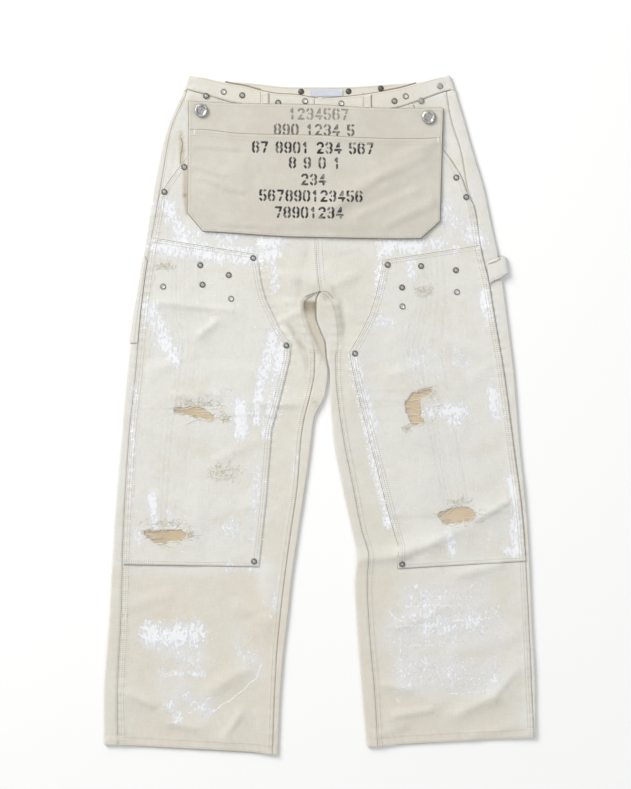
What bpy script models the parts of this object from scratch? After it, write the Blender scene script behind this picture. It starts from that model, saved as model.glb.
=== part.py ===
"""Carpenter pants laid flat on their back, built piece by piece as they are sewn.

+X is the wearer's left, +Y points to the waist and +Z up from the surface they lie on. The two backs
lie on the surface and wrap round each leg's edges, and the two fronts lie on top, seam to seam.
Lengths in the tables are millimetres, and MM turns them into Blender's metres.
"""

import math
from collections import namedtuple

import bmesh
import bpy
import numpy as np
from mathutils import Vector
from mathutils.bvhtree import BVHTree

MM = 0.001

# Cloth
WALL = 1.1  # canvas
BAND_WALL = 2.0  # waistband, canvas folded double
GAP = 0.4  # between layers and at seams
LAYER = WALL + GAP  # one more layer of canvas on top
PATCH_WALL = 1.0
PATCH_LIFT = PATCH_WALL + 0.35  # what a patch adds under the knee panel
REST = 4.0  # height of the front's outer face over the surface
SWELL = 2.0  # how much higher a leg's edge is, where the cloth rolls over
SWELL_WIDTH = 38.0
WEDGE_RADIUS = 1.45  # roll of the low back cloth seen between the legs
CROTCH_TOP = 265.0  # above here the inner edges no longer swell
CROTCH_FADE = 75.0
ROLL_SHORT = 0.8  # how far a leg's outer roll ends before its seam
LOW_STRIP = 4.0  # a strip between the fold and the edge that is wider than this lies low, in the fork
HEM_RAISE = 0.8
BAND_RAISE = 1.0  # waistband's outer face over the fronts

# Waist and pockets
BAND_HEIGHT = 30.0
BAND_CORNER_LOSS = 8.0  # how much less of the band shows where it turns over the side
BAND_CORNER_X = 206.0
BAND_SIDE_LOW = 505.0  # ends of the waistband where it turns over the side
BAND_SIDE_HIGH = 530.0
BACK_BAND_GAP = 2.0  # on the underside, where the seam lies in a curve
POCKET_LAP = 12.0  # facing under the front's slanted edge
POCKET_LIFT = 1.6
POCKET_FLAT = 14.0  # width beside the slanted edge that is lifted in full
POCKET_FADE = 30.0
POCKET_LOW = 280.0  # height where the lift starts
POCKET_RISE = 50.0
SLANT_TOP = 491.0  # where the pocket's slanted edge meets the waistband
SLANT_COSINE = 0.8
CENTRE_FRONT = -8.0  # x of the centre-front seam at the waist
TOOL_POCKET_LOW = 112.0
TOOL_POCKET_HIGH = 251.0

# Columns of each grid
KNEE_COLUMNS = 8
THIGH_COLUMNS = 3
APRON_COLUMNS = 13
BAND_FRONT_COLUMNS = 8
BAND_BACK_COLUMNS = 8

Edge = namedtuple("Edge", "y outer outseam")
Inner = namedtuple("Inner", "y inseam fold inner")
Row = namedtuple("Row", "out knee inside back steps")
Fold = namedtuple("Fold", "x1 y1 x2 y2 height width")
Rip = namedtuple("Rip", "name rows columns outline")
Stud = namedtuple("Stud", "name x y hollow on")

# Sides of each leg from hem to waist: outline and outseam
RIGHT_EDGES = [
    Edge(-515, -337, -315),
    Edge(-444, -337, -316),
    Edge(-320, -329, -310.5),
    Edge(-180, -321.5, -306),
    Edge(-39, -310.5, -298),
    Edge(67, -301, -287),
    Edge(156, -290.5, -279.5),
    Edge(206, -282, -273.5),
    Edge(257, -274.5, -266),
    Edge(320, -265, -254.5),
    Edge(382, -254.5, -244),
    Edge(444, -240, -232.5),
    Edge(485, -223.5, -216),
    Edge(505, -213.5, -206.5),
    Edge(530, -205.5, -199),
]
LEFT_EDGES = [
    Edge(-507, 337, 334.5),
    Edge(-444, 337, 331.5),
    Edge(-320, 331.5, 326),
    Edge(-180, 325, 318),
    Edge(-39, 311.5, 301),
    Edge(67, 303, 287),
    Edge(156, 292, 272),
    Edge(206, 285.5, 264),
    Edge(257, 277, 252),
    Edge(288, 270, 247.5),
    Edge(320, 263.5, 242),
    Edge(351, 257, 231.5),
    Edge(413, 238.5, 220),
    Edge(463, 224.5, 204.5),
    Edge(505, 211.5, 197),
    Edge(530, 203, 191.5),
]

# Inner side of each leg up to the crotch: inseam, fold of the top strip, edge of the cloth
RIGHT_INNERS = [
    Inner(-530, -74, -65.5, -65.5),
    Inner(-444, -71, -62, -62),
    Inner(-382, -68, -57.5, -57.5),
    Inner(-320, -62.5, -50.5, -50.5),
    Inner(-250, -54.5, -43, -43),
    Inner(-180, -45, -33, -33),
    Inner(-109, -35, -22.5, -22.5),
    Inner(-39, -29.5, -13, -13),
    Inner(-8, -25, -9.5, -9.5),
    Inner(34, -14.5, 9, 9),
    Inner(67, -8.5, 11.5, 12.5),
    Inner(92, -8, 3, 9),
    Inner(112, -12, -6, 7.5),
    Inner(132, -20.5, -15, 0),
    Inner(156, -28.5, -23, -7.5),
    Inner(175, -30, -25, -7.5),
    Inner(184, -23.5, -18, -6),
]
LEFT_INNERS = [
    Inner(-518, 90.5, 73.5, 73.5),
    Inner(-444, 86.5, 67, 67),
    Inner(-320, 76.5, 57.5, 57.5),
    Inner(-262, 74, 54.5, 54.5),
    Inner(-221, 76.5, 58, 58),
    Inner(-180, 65.5, 50, 50),
    Inner(-109, 51.5, 34.5, 34.5),
    Inner(-39, 37.5, 21.5, 21.5),
    Inner(15, 29.5, 17, 17),
    Inner(67, 25, 15.5, 15.5),
    Inner(92, 25, 11, 11),
    Inner(112, 28, 9.5, 9.5),
    Inner(132, 27.5, 2, 2),
    Inner(156, 25, -5.5, -5.5),
    Inner(175, 18.5, -5.5, -5.5),
    Inner(184, 12.5, -4, -4),
]

# Inner edge of each knee panel, carried on to hem and waist as a line of the front's grid
RIGHT_KNEE = [(-530, -108), (-237, -95), (-132, -83.5), (-23, -75), (23, -62.5), (86, -47), (111, -45),
              (135, -62.5), (180, -84), (203, -90.5), (250, -98.5), (505, -100)]
LEFT_KNEE = [(-518, 128), (-240, 121.5), (-206, 123), (-159, 109), (-98, 93.5), (-39, 78), (15, 64),
             (70, 51.5), (98, 47), (130, 65.5), (156, 78), (184, 87.5), (210, 93.5), (241, 99), (505, 100)]

# Slanted pocket openings and centre-front seam, as y and x
RIGHT_SLANT = [(340, -251), (366, -234), (398, -210), (444, -173), (505, -140)]
LEFT_SLANT = [(332, 237), (351, 228), (366, 223), (398, 204.5), (444, 167), (505, 135)]
RISE = [(193, 0), (217, -3), (260, -6), (335, -8), (505, -8)]

# Rows of each leg's grids: y at the outseam, the knee panel's inner edge, the inseam or centre
# front, and centre back, with the steps taken from the row before
RIGHT_ROWS = {
    "hem": Row(-515, -526, -530, -522, 0),
    "hem_stitch": Row(-501, -512, -516, -508, 1),
    "over_hem": Row(-499, -510, -514, -506, 1),
    "knee_bottom": Row(-233, -237, -238, -236, 7),
    "thigh": Row(20, 20, 20, 20, 6),
    "fork": Row(67, 67, 67, 67, 1),
    "knee_corner": Row(111, 111, 112, 111, 2),
    "under_crotch": Row(199, 185, 184, 190, 4),
    "crotch": Row(209, 194, 193.5, 200, 1),
    "knee_top": Row(276, 250, 236, 262, 2),
    "pocket": Row(340, 316, 306, 325, 2),
    "waist": Row(503, 480, 464, 483, 4),
}
LEFT_ROWS = {
    "hem": Row(-503, -514, -518, -510, 0),
    "hem_stitch": Row(-489, -500, -504, -496, 1),
    "over_hem": Row(-487, -498, -502, -494, 1),
    "knee_bottom": Row(-228, -240, -241, -236, 7),
    "thigh": Row(20, 18, 18, 20, 6),
    "fork": Row(67, 60, 67, 67, 1),
    "knee_corner": Row(108, 98, 112, 111, 2),
    "under_crotch": Row(193, 178, 184, 190, 4),
    "crotch": Row(203, 188, 193.5, 200, 1),
    "knee_top": Row(264, 241, 236, 262, 2),
    "pocket": Row(332, 312, 306, 325, 2),
    "waist": Row(503, 480, 464, 483, 4),
}

# Top edge of the waistband as x, y on the front and y on the back
WAIST_TOP = [(-205.5, 530, 530), (-179.5, 526, 526), (-157.5, 521, 521), (-140, 517, 520), (-117, 513, 519),
             (-93, 506.5, 516.5), (-62, 501, 513), (-39, 500, 512), (0, 494, 512), (31, 496, 512),
             (62, 499, 513), (93, 504, 515), (125, 510, 517), (143, 515, 518), (164, 521, 521),
             (182, 526, 526), (203, 530, 530)]

# Largest folds of the top layer: a soft ridge or trough between two points
FOLDS = [
    Fold(59, -226, 125, -218, 2.6, 15),
    Fold(125, -218, 178, -198, 3.0, 15),
    Fold(178, -198, 222, -178, 2.0, 16),
    Fold(246, -163, 292, -134, 2.2, 16),
    Fold(215, -250, 283, -232, 1.8, 17),
    Fold(100, -420, 145, -430, 1.6, 16),
    Fold(117, -470, 176, -458, 2.2, 17),
    Fold(215, -468, 272, -440, 2.4, 16),
    Fold(272, -440, 312, -396, 2.0, 16),
    Fold(-252, 176, -138, 163, 1.6, 18),
    Fold(-190, 122, -160, 146, 1.2, 16),
    Fold(-101, 17, -30, 15, 1.6, 16),
    Fold(-106, -142, -76, -168, 1.4, 16),
    Fold(-306, -436, -248, -464, 2.2, 17),
    Fold(-236, -480, -190, -489, 1.4, 16),
    Fold(-168, -430, -112, -396, 2.0, 17),
    Fold(-150, -508, -122, -470, 1.8, 16),
    Fold(-55, 150, -20, 68, 2.0, 15),
    Fold(-40, 215, 38, 214, 1.8, 16),
    Fold(-90, -330, -78, -250, 1.4, 15),
    Fold(66, 120, 44, 0, 1.4, 16),
]
APRON_FOLDS = [
    Fold(20, 322, 158, 398, 1.6, 24),
    Fold(-180, 345, -120, 388, 1.0, 22),
]

# Rips in the knee panels, with the rows and columns of the front's grid that the patch covers
RIGHT_RIPS = [
    Rip("upper", ("thigh", -1, 1), (1, 6),
        [(-231, 9.5), (-223, 13.5), (-212, 11), (-199, 15), (-187, 13.5), (-174, 6), (-164, 0), (-157, -5.5),
         (-168, -8), (-182, -6), (-206, -1.5), (-218, 2.5), (-228, 4.5)]),
    Rip("lower", ("knee_bottom", 0, 2), (0, 4),
        [(-279, -180), (-265, -181), (-246, -179), (-226, -178), (-212, -181), (-207, -187), (-213, -195),
         (-228, -198), (-240, -201), (-252, -201), (-262, -196), (-270, -190)]),
]
LEFT_RIPS = [
    Rip("upper", ("thigh", -1, 1), (3, 6),
        [(182, 47), (178, 39), (167, 30), (156, 24), (157, 11), (160, -3), (165, -12), (154, -16), (142, -17),
         (139, -4), (132, 11), (134, 22), (142, 32), (153, 39), (168, 43)]),
    Rip("lower", ("knee_bottom", 1, 3), (2, 6),
        [(181, -154), (192, -150), (206, -145), (220, -142), (234, -143), (243, -151), (245, -159), (234, -165),
         (218, -168), (199, -171), (190, -168)]),
]

# Apron and its pouch layer: outlines as x and y
APRON_TOP = [(-204.5, 489), (-140, 486), (-93, 485), (0, 483.5), (62, 479.5), (125, 478), (156, 478), (192, 479)]
POUCH_TOP = [(-204.5, 444.5), (-187, 444.5), (-125, 438.5), (-78, 437), (0, 435.5), (62, 432), (125, 430.5),
             (156, 430.5), (190.5, 432)]
APRON_BOTTOM = [(-182.5, 287), (-140, 284.5), (-47, 278.5), (0, 277.5), (125, 275.5), (157.5, 276)]
APRON_CORNER_LEFT = (-206, 315)
APRON_CORNER_RIGHT = (187, 302.5)

# Hardware
STUD_RADIUS = 4.7
STUD_SIDES = 10
BUTTON_SIDES = 16
BUTTON_FOOT = 3.4
WAIST_BUTTON_FOOT = 7.4
SEAT_GAP = 0.35
STUD_PROFILE = [(0, 1.2), (2.2, 1.2), (3.2, 1.9), (4.7, 0.5), (4.4, 0), (0, 0)]
HOLLOW_PROFILE = [(0, 0.5), (1.9, 0.6), (2.9, 1.9), (4.7, 0.5), (4.4, 0), (0, 0)]
BUTTON_PROFILE = [(0, 3.3), (5.5, 3.2), (7.6, 4.1), (9.8, 3.8), (10.5, 2.9), (8.6, 1.7), (3.4, 1.3), (3.2, 0), (0, 0)]
WAIST_BUTTON_PROFILE = [(0, 1.7), (6.5, 1.7), (7.4, 1.2), (7.0, 0), (0, 0)]
STUDS = [
    Stud("waist_1", -178, 498, False, "waistband_right"),
    Stud("waist_2", -150.5, 504.5, True, "waistband_right"),
    Stud("waist_3", -121.5, 499, False, "waistband_right"),
    Stud("waist_4", -65.5, 487.5, False, "waistband_right"),
    Stud("waist_5", -23.5, 490, True, "waistband_right"),
    Stud("waist_6", 33, 486.5, True, "waistband_left"),
    Stud("waist_7", 116, 490, False, "waistband_left"),
    Stud("waist_8", 133.5, 497.5, True, "waistband_left"),
    Stud("waist_9", 157.5, 490.5, False, "waistband_left"),
    Stud("waist_10", 187, 513, False, "waistband_left"),
    Stud("back_1", -29.5, 505, False, "waistband_right"),
    Stud("back_2", 44.5, 505.5, False, "waistband_left"),
    Stud("back_3", 95, 510, False, "waistband_left"),
    Stud("pocket_right_1", -212, 387, False, "front_right"),
    Stud("pocket_right_2", -243, 348, False, "front_right"),
    Stud("pocket_left_1", 212.5, 370.5, False, "front_left"),
    Stud("pocket_left_2", 228, 340, False, "front_left"),
    Stud("knee_right_1", -104.5, 245, False, "knee_right"),
    Stud("knee_right_2", -52.5, 108.5, False, "knee_right"),
    Stud("knee_right_3", -103, -228.5, False, "knee_right"),
    Stud("knee_right_4", -187, 234, False, "knee_right"),
    Stud("knee_right_5", -142.5, 218.5, False, "knee_right"),
    Stud("knee_right_6", -183.5, 203.5, False, "knee_right"),
    Stud("knee_right_7", -245, 200.5, True, "knee_right"),
    Stud("knee_right_8", -139, 181.5, True, "knee_right"),
    Stud("knee_left_1", 105.5, 234.5, False, "knee_left"),
    Stud("knee_left_2", 54.5, 96, False, "knee_left"),
    Stud("knee_left_3", 128, -232.5, False, "knee_left"),
    Stud("knee_left_4", 157.5, 232.5, False, "knee_left"),
    Stud("knee_left_5", 212, 226, False, "knee_left"),
    Stud("knee_left_6", 128, 199, False, "knee_left"),
    Stud("knee_left_7", 213.5, 192, True, "knee_left"),
    Stud("knee_left_8", 128.5, 169.5, True, "knee_left"),
]
APRON_BUTTONS = {"button_right": (-185, 474.5), "button_left": (169.5, 464)}
WAIST_BUTTON = (0, 473)

# Small pieces: a belt loop's middle, the label's corners, and the fly's y and half width
BELT_LOOPS = {"right": -86.0, "left": 74.0}
BELT_LOOP_HALF = 6.0
LABEL_X = (-15.0, 36.0)
LABEL_Y = (497.5, 508.5)
LABEL_TOP = 3.25
FLY = [(262, 6), (272, 13), (300, 18), (360, 20), (420, 20), (460, 20)]
FLY_TOP = 2.5

# Hammer loop from the outseam round the leg's edge and back: x out from the edge, height, y
LOOP_PATH = [(-21, 7.8, 219), (-12.5, 8.5, 223), (-3.5, 9.2, 225), (4, 9.1, 227), (9, 8.2, 228),
             (11, 5.6, 228), (11, 3.0, 229), (9, 0.5, 229), (5.3, 0.1, 230), (1.3, 0.1, 230)]
LOOP_ACROSS = (-16.0, -5.0, 5.0, 16.0)

# The back's low strip where the crotch seams meet: x out from the centre, y over the row, height
CROTCH_STRIP = [(2.5, -1.0, 3.1), (2.1, -0.8, 3.5), (0.5, -0.2, 3.8)]
CROTCH_SEAM, CROTCH_FOLD, CROTCH_EDGE = 0.35, 2.8, 0.6

# Colours, roughness and metallic of each material
FINISHES = {
    "canvas": ((0.75, 0.72, 0.63), 0.9, 0.0),
    "canvas_worn": ((0.78, 0.76, 0.70), 0.9, 0.0),
    "apron_canvas": ((0.69, 0.63, 0.53), 0.9, 0.0),
    "patch_canvas": ((0.64, 0.45, 0.25), 0.92, 0.0),
    "label": ((0.80, 0.80, 0.84), 0.7, 0.0),
    "pewter": ((0.45, 0.43, 0.40), 0.35, 1.0),
    "silver": ((0.72, 0.72, 0.72), 0.28, 1.0),
}


def smooth(t):
    """Eases from 0 to 1 between t = 0 and t = 1."""
    t = np.clip(t, 0.0, 1.0)
    return t * t * (3 - 2 * t)


def along(table, y, column=1):
    """Reads one column of a table by its first column."""
    table = np.array([tuple(row) for row in table], float)
    return np.interp(y, table[:, 0], table[:, column])


def fold_height(folds, x, y):
    """Sum of soft ridges: a bell across each line, and a fade past its ends."""
    total = np.zeros(np.broadcast(x, y).shape)
    for fold in folds:
        run = np.array([fold.x2 - fold.x1, fold.y2 - fold.y1], float)
        length = np.hypot(*run)
        run /= length
        ahead = (x - fold.x1) * run[0] + (y - fold.y1) * run[1]
        aside = (y - fold.y1) * run[0] - (x - fold.x1) * run[1]
        past = np.maximum(0, np.abs(ahead - length / 2) - length / 2)
        total += fold.height * np.exp(-(aside**2 + past**2) / fold.width**2)
    return total


class Leg:
    """One leg's outline, seams and rows. side is -1 on the wearer's right and +1 on the left."""

    def __init__(self, name, side, edges, inners, knee, slant, rows, rips):
        self.name = name
        self.side = side
        self.edges = edges
        self.inners = inners
        self.knee = knee
        self.slant = slant
        self.rows = rows
        self.rips = rips
        self.stations = {}
        self.grid_rows = []
        before = None
        for label, row in rows.items():
            for step in range(1, row.steps + 1):
                share = step / row.steps
                self.grid_rows.append([a + (b - a) * share for a, b in zip(before[:4], row[:4])])
            if before is None:
                self.grid_rows.append(list(row[:4]))
            self.stations[label] = len(self.grid_rows) - 1
            before = row

    def outer(self, y):
        return along(self.edges, y, 1)

    def outseam(self, y):
        return along(self.edges, y, 2)

    def inner_column(self, y, column):
        """Inseam, fold or inner edge. Above the crotch they all lie at the centre."""
        return along(self.inners + [Inner(193.5, 0, 0, 0)], y, column)

    def slant_distance(self, x, y):
        """How far a point lies inwards of the pocket's slanted edge, roughly square to it."""
        return (along(self.slant, y) - x) * self.side * SLANT_COSINE


RIGHT = Leg("right", -1, RIGHT_EDGES, RIGHT_INNERS, RIGHT_KNEE, RIGHT_SLANT, RIGHT_ROWS, RIGHT_RIPS)
LEFT = Leg("left", 1, LEFT_EDGES, LEFT_INNERS, LEFT_KNEE, LEFT_SLANT, LEFT_ROWS, LEFT_RIPS)
LEGS = (RIGHT, LEFT)


def lay(leg, x, y):
    """Height of the top layer's outer face over the surface."""
    x = np.asarray(x, float)
    y = np.asarray(y, float)
    from_outer = (x - leg.outer(y)) / SWELL_WIDTH
    from_inner = (x - leg.inner_column(y, 2)) / SWELL_WIDTH
    below_crotch = smooth((CROTCH_TOP - y) / CROTCH_FADE)
    swell = np.exp(-from_outer**2) + below_crotch * np.exp(-from_inner**2)
    return REST + SWELL * np.minimum(swell, 1.0) + fold_height(FOLDS, x, y)


def front_lay(leg, x, y):
    """The front's outer face, lifted where its slanted edge laps over the pocket facing."""
    lapped = 1 - smooth((leg.slant_distance(x, y) - POCKET_FLAT) / POCKET_FADE)
    return lay(leg, x, y) + POCKET_LIFT * lapped * smooth((y - POCKET_LOW) / POCKET_RISE)


def band_lower(x, back=False):
    """y of the waistband's lower seam."""
    height = BAND_HEIGHT - BAND_CORNER_LOSS * np.clip(np.abs(x) / BAND_CORNER_X, 0, 1) ** 4
    return along(WAIST_TOP, x, 2 if back else 1) - height


def clear_scene():
    for obj in list(bpy.data.objects):
        bpy.data.objects.remove(obj, do_unlink=True)


def collection(name):
    made = bpy.data.collections.new(name)
    bpy.context.scene.collection.children.link(made)
    return made


def material(name):
    colour, roughness, metallic = FINISHES[name]
    made = bpy.data.materials.get(name)
    if made is None:
        made = bpy.data.materials.new(name)
        made.use_nodes = True
        shader = made.node_tree.nodes["Principled BSDF"]
        shader.inputs["Base Color"].default_value = (*colour, 1.0)
        shader.inputs["Roughness"].default_value = roughness
        shader.inputs["Metallic"].default_value = metallic
        made.diffuse_color = (*colour, 1.0)
    return made


def cloth(name, points, finish, wall=WALL, flip=False, even=True):
    """A wall of cloth: a grid moved to its outer face's points (rows, columns, xyz), then Solidify."""
    points = np.asarray(points, float)
    if flip:
        points = points[:, ::-1]
    rows, columns = points.shape[:2]
    mesh = bpy.data.meshes.new(name)
    grid = bmesh.new()
    bmesh.ops.create_grid(grid, x_segments=columns - 1, y_segments=rows - 1, size=1.0)
    for vertex in grid.verts:
        row = round((vertex.co.y + 1) / 2 * (rows - 1))
        column = round((vertex.co.x + 1) / 2 * (columns - 1))
        vertex.co = points[row, column] * MM
    bmesh.ops.triangulate(grid, faces=grid.faces[:], quad_method="FIXED")
    grid.to_mesh(mesh)
    grid.free()
    mesh.materials.append(material(finish))
    mesh.shade_smooth()
    mesh.set_sharp_from_angle(angle=math.radians(50))
    piece = bpy.data.objects.new(name, mesh)
    PARTS.objects.link(piece)
    solid = piece.modifiers.new("wall", "SOLIDIFY")
    solid.thickness = wall * MM
    solid.offset = -1.0
    solid.use_even_offset = even
    return piece


def prism(name, outline, low, high):
    """A cutter: a flat curve filled, extruded between two heights and made a mesh."""
    curve = bpy.data.curves.new(name, "CURVE")
    curve.dimensions = "2D"
    curve.fill_mode = "BOTH"
    curve.extrude = (high - low) / 2 * MM
    spline = curve.splines.new("POLY")
    spline.points.add(len(outline) - 1)
    for point, (x, y) in zip(spline.points, outline):
        point.co = (x * MM, y * MM, 0, 1)
    spline.use_cyclic_u = True
    drawn = bpy.data.objects.new(name + "_curve", curve)
    CUTTERS.objects.link(drawn)
    bpy.context.view_layer.update()
    mesh = bpy.data.meshes.new_from_object(drawn.evaluated_get(bpy.context.evaluated_depsgraph_get()))
    bpy.data.objects.remove(drawn)
    welded = bmesh.new()
    welded.from_mesh(mesh)
    bmesh.ops.remove_doubles(welded, verts=welded.verts[:], dist=0.00001)
    bmesh.ops.recalc_face_normals(welded, faces=welded.faces[:])
    welded.to_mesh(mesh)
    welded.free()
    cutter = bpy.data.objects.new(name, mesh)
    cutter.location.z = (low + high) / 2 * MM
    cutter.hide_render = True
    cutter.display_type = "WIRE"
    CUTTERS.objects.link(cutter)
    return cutter


def stack(x, y, z):
    return np.stack(np.broadcast_arrays(x, y, z), axis=-1)


def between(a, b, cells):
    """Points evenly from each a to each b: (rows, cells + 1)."""
    share = np.linspace(0, 1, cells + 1)
    a = np.asarray(a, float)[:, None]
    b = np.asarray(b, float)[:, None]
    return a + (b - a) * share


def front_points(leg):
    """The front's outer face: columns from outseam or pocket edge to the knee line to the inseam or rise."""
    rows = np.array(leg.grid_rows)
    y_out, y_knee, y_in = rows[:, 0].copy(), rows[:, 1], rows[:, 2].copy()
    pocket, waist = leg.rows["pocket"].out, leg.rows["waist"].out
    slanted = y_out > pocket
    y_out[slanted] = pocket + (y_out[slanted] - pocket) * (SLANT_TOP - pocket) / (waist - pocket)
    x_out = np.where(y_out >= pocket, along(leg.slant, y_out), leg.outseam(y_out))
    x_out = x_out - leg.side * GAP / 2
    x_knee = along(leg.knee, y_knee)
    crotch = leg.stations["crotch"]
    x_in = np.where(np.arange(len(rows)) >= crotch, along(RISE, y_in), leg.inner_column(y_in, 1))
    x_in = x_in + leg.side * GAP / 2
    y_in[: crotch + 1] += GAP / 2
    x = np.hstack([between(x_out, x_knee, KNEE_COLUMNS), between(x_knee, x_in, THIGH_COLUMNS)[:, 1:]])
    y = np.hstack([between(y_out, y_knee, KNEE_COLUMNS), between(y_knee, y_in, THIGH_COLUMNS)[:, 1:]])
    y[-1] = band_lower(x[-1]) - 2 * GAP
    z = front_lay(leg, x, y)
    z[: leg.stations["hem_stitch"] + 1] += HEM_RAISE
    return stack(x, y, z)


def back_points(leg):
    """The back's outer face, round each leg: outseam, outer roll, underside, inner roll, inseam."""
    rows = np.array(leg.grid_rows)
    y_out, y_in, y_back = rows[:, 0], rows[:, 2], rows[:, 3]
    crotch = leg.stations["crotch"]
    made = []
    for i in range(len(rows)):
        outer = leg.outer(y_out[i])
        raised = HEM_RAISE if i <= leg.stations["hem_stitch"] else 0.0
        top = float(lay(leg, outer, y_out[i])) + raised
        radius = top / 2
        seam = leg.outseam(y_out[i]) + leg.side * GAP / 2
        reach = min(radius, abs(outer - seam) - ROLL_SHORT)
        section = [(seam, y_out[i], float(lay(leg, seam, y_out[i])) + raised)]
        section += roll(outer, y_out[i], radius, -leg.side * reach, (90, 45, 0, -45, -90))
        if i <= crotch:
            section += leg_inner_side(leg, i, y_in[i], raised, section[-1], i == crotch)
        else:
            section += seat_side(leg, y_back[i], section[-1], (i - crotch) / (len(rows) - 1 - crotch))
        made.append(section)
    points = np.array(made)
    points[-1, :, 1] = np.minimum(points[-1, :, 1], band_lower(points[-1, :, 0], back=True) - BACK_BAND_GAP)
    return points


def roll(edge, y, radius, reach, angles):
    """Points round a rolled edge: radius is half its height, and reach its signed depth towards the leg."""
    turns = [math.radians(angle) for angle in angles]
    return [(edge + reach * (1 - math.cos(turn)), y, radius * (1 + math.sin(turn))) for turn in turns]


def leg_inner_side(leg, i, y, raised, from_point, at_crotch):
    """Underside, inner roll and top strip of one leg row. The right leg's roll is low in the fork."""
    side = leg.side
    seam, fold, inner = (leg.inner_column(y, column) for column in (1, 2, 3))
    if at_crotch:
        seam, fold, inner = side * CROTCH_SEAM, side * CROTCH_FOLD, side * CROTCH_EDGE
    top = float(lay(leg, fold, y)) + raised
    low = abs(inner - fold) > LOW_STRIP or at_crotch
    radius = WEDGE_RADIUS if low else top / 2
    under = (inner + side * radius, y - GAP / 2, 0.0)
    flat = [tuple(a + (b - a) * share for a, b in zip(from_point, under)) for share in (1 / 3, 2 / 3)]
    edge = roll(inner, y - GAP / 2, radius, side * radius, (-90, -45, 0, 45, 90))
    seam_x = seam - side * GAP / 2
    if at_crotch:
        strip = [(side * x, y + below, z) for x, below, z in CROTCH_STRIP]
    elif low:
        strip = [(fold - side * 1.1, y - GAP / 2, 2 * radius + 0.1), (fold + side * 0.5, y - GAP / 2, top - 0.1)]
        strip.append((seam_x, y - GAP / 2, float(lay(leg, seam_x, y))))
    else:
        strip = []
        for share in (1 / 3, 2 / 3, 1):
            x = edge[-1][0] + (seam_x - edge[-1][0]) * share
            strip.append((x, y - GAP / 2, float(lay(leg, x, y)) + raised))
    return flat + edge + strip


def seat_side(leg, y, from_point, rise):
    """Underside of one row above the crotch, from the outer roll to the centre-back seam."""
    columns = 10
    even = from_point[0] + (leg.side * GAP / 2 - from_point[0]) * np.arange(1, columns + 1) / columns
    near = np.concatenate([[from_point[0] * 0.66 + leg.side * 9, from_point[0] * 0.33 + leg.side * 18],
                           leg.side * np.linspace(27, GAP / 2, columns - 2)])
    spread = rise**0.7
    x = near * (1 - spread) + even * spread
    y_row = from_point[1] + (y - from_point[1]) * (from_point[0] - x) / (from_point[0] - leg.side * GAP / 2)
    return list(zip(x, y_row, np.zeros(columns)))


def build_leg(leg):
    flip = leg.side > 0
    front = front_points(leg)
    cloth("front_" + leg.name, front, "canvas", flip=flip)
    back = back_points(leg)
    cloth("back_" + leg.name, back, "canvas", flip=not flip, even=False)
    build_knee(leg, front, flip)
    build_facing(leg, flip)


def build_knee(leg, front, flip):
    """The double-knee panel lies on the front's own points, lifted over its patches, and is cut by its rips."""
    low, high = leg.stations["knee_bottom"], leg.stations["knee_top"]
    panel = front[low : high + 1, : KNEE_COLUMNS + 1].copy()
    panel[..., 2] += LAYER
    cutters = []
    for rip in leg.rips:
        station, first, last = rip.rows
        start, stop = leg.stations[station] + first, leg.stations[station] + last
        columns = slice(rip.columns[0], rip.columns[1] + 1)
        patch = front[start : stop + 1, columns].copy()
        patch[..., 2] += SEAT_GAP + PATCH_WALL
        cloth("patch_%s_%s" % (leg.name, rip.name), patch, "patch_canvas", PATCH_WALL, flip)
        panel[start - low : stop - low + 1, columns, 2] += PATCH_LIFT
        floor = float(patch[..., 2].max())
        cutters.append(prism("rip_%s_%s" % (leg.name, rip.name), rip.outline, 0.5, floor + 12))
    piece = cloth("knee_" + leg.name, panel, "canvas_worn", flip=flip)
    for cutter in cutters:
        cut = piece.modifiers.new(cutter.name, "BOOLEAN")
        cut.operation = "DIFFERENCE"
        cut.object = cutter
        cut.solver = "EXACT"


def build_facing(leg, flip):
    """The pocket facing runs from the outseam to just under the front's slanted edge."""
    rows = np.array(leg.grid_rows)
    y = rows[leg.stations["pocket"] :, 0].copy()
    y[0] += 2.0
    x_out = leg.outseam(y) - leg.side * GAP / 2
    x_in = along(leg.slant, y) - leg.side * POCKET_LAP
    x = between(x_out, x_in, 4)
    y = np.repeat(y[:, None], 5, axis=1)
    y[-1] = np.minimum(y[-1], band_lower(x[-1]) - 2 * GAP)
    cloth("pocket_facing_" + leg.name, stack(x, y, lay(leg, x, y)), "canvas", flip=flip)


def build_waistband(leg):
    """Half the waistband: centre front, over the side, and along the underside to centre back."""
    side = leg.side
    made = []
    for share in (0.0, 0.5, 1.0):
        y_side = BAND_SIDE_LOW + (BAND_SIDE_HIGH - BAND_SIDE_LOW) * share
        outer = leg.outer(y_side)
        top = float(lay(leg, outer, y_side)) + BAND_RAISE
        radius = top / 2
        corner = outer - side * radius
        row = []
        start = CENTRE_FRONT + side * GAP / 2
        for x in np.linspace(start, corner, BAND_FRONT_COLUMNS + 1):
            low, high = float(band_lower(x)), float(along(WAIST_TOP, x, 1))
            y = low + (high - low) * share
            row.append((x, y, float(lay(leg, x, y)) + BAND_RAISE))
        row += roll(outer, y_side, radius, -side * radius, (90, 45, 0, -45, -90))
        for x in np.linspace(corner, side * GAP / 2, BAND_BACK_COLUMNS + 1)[1:]:
            low, high = float(band_lower(x, back=True)), float(along(WAIST_TOP, x, 2))
            row.append((x, low + (high - low) * share, 0.0))
        made.append(row[:BAND_FRONT_COLUMNS] + row[BAND_FRONT_COLUMNS + 1 :])
    cloth("waistband_" + leg.name, made, "canvas", BAND_WALL, flip=side < 0)


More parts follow.
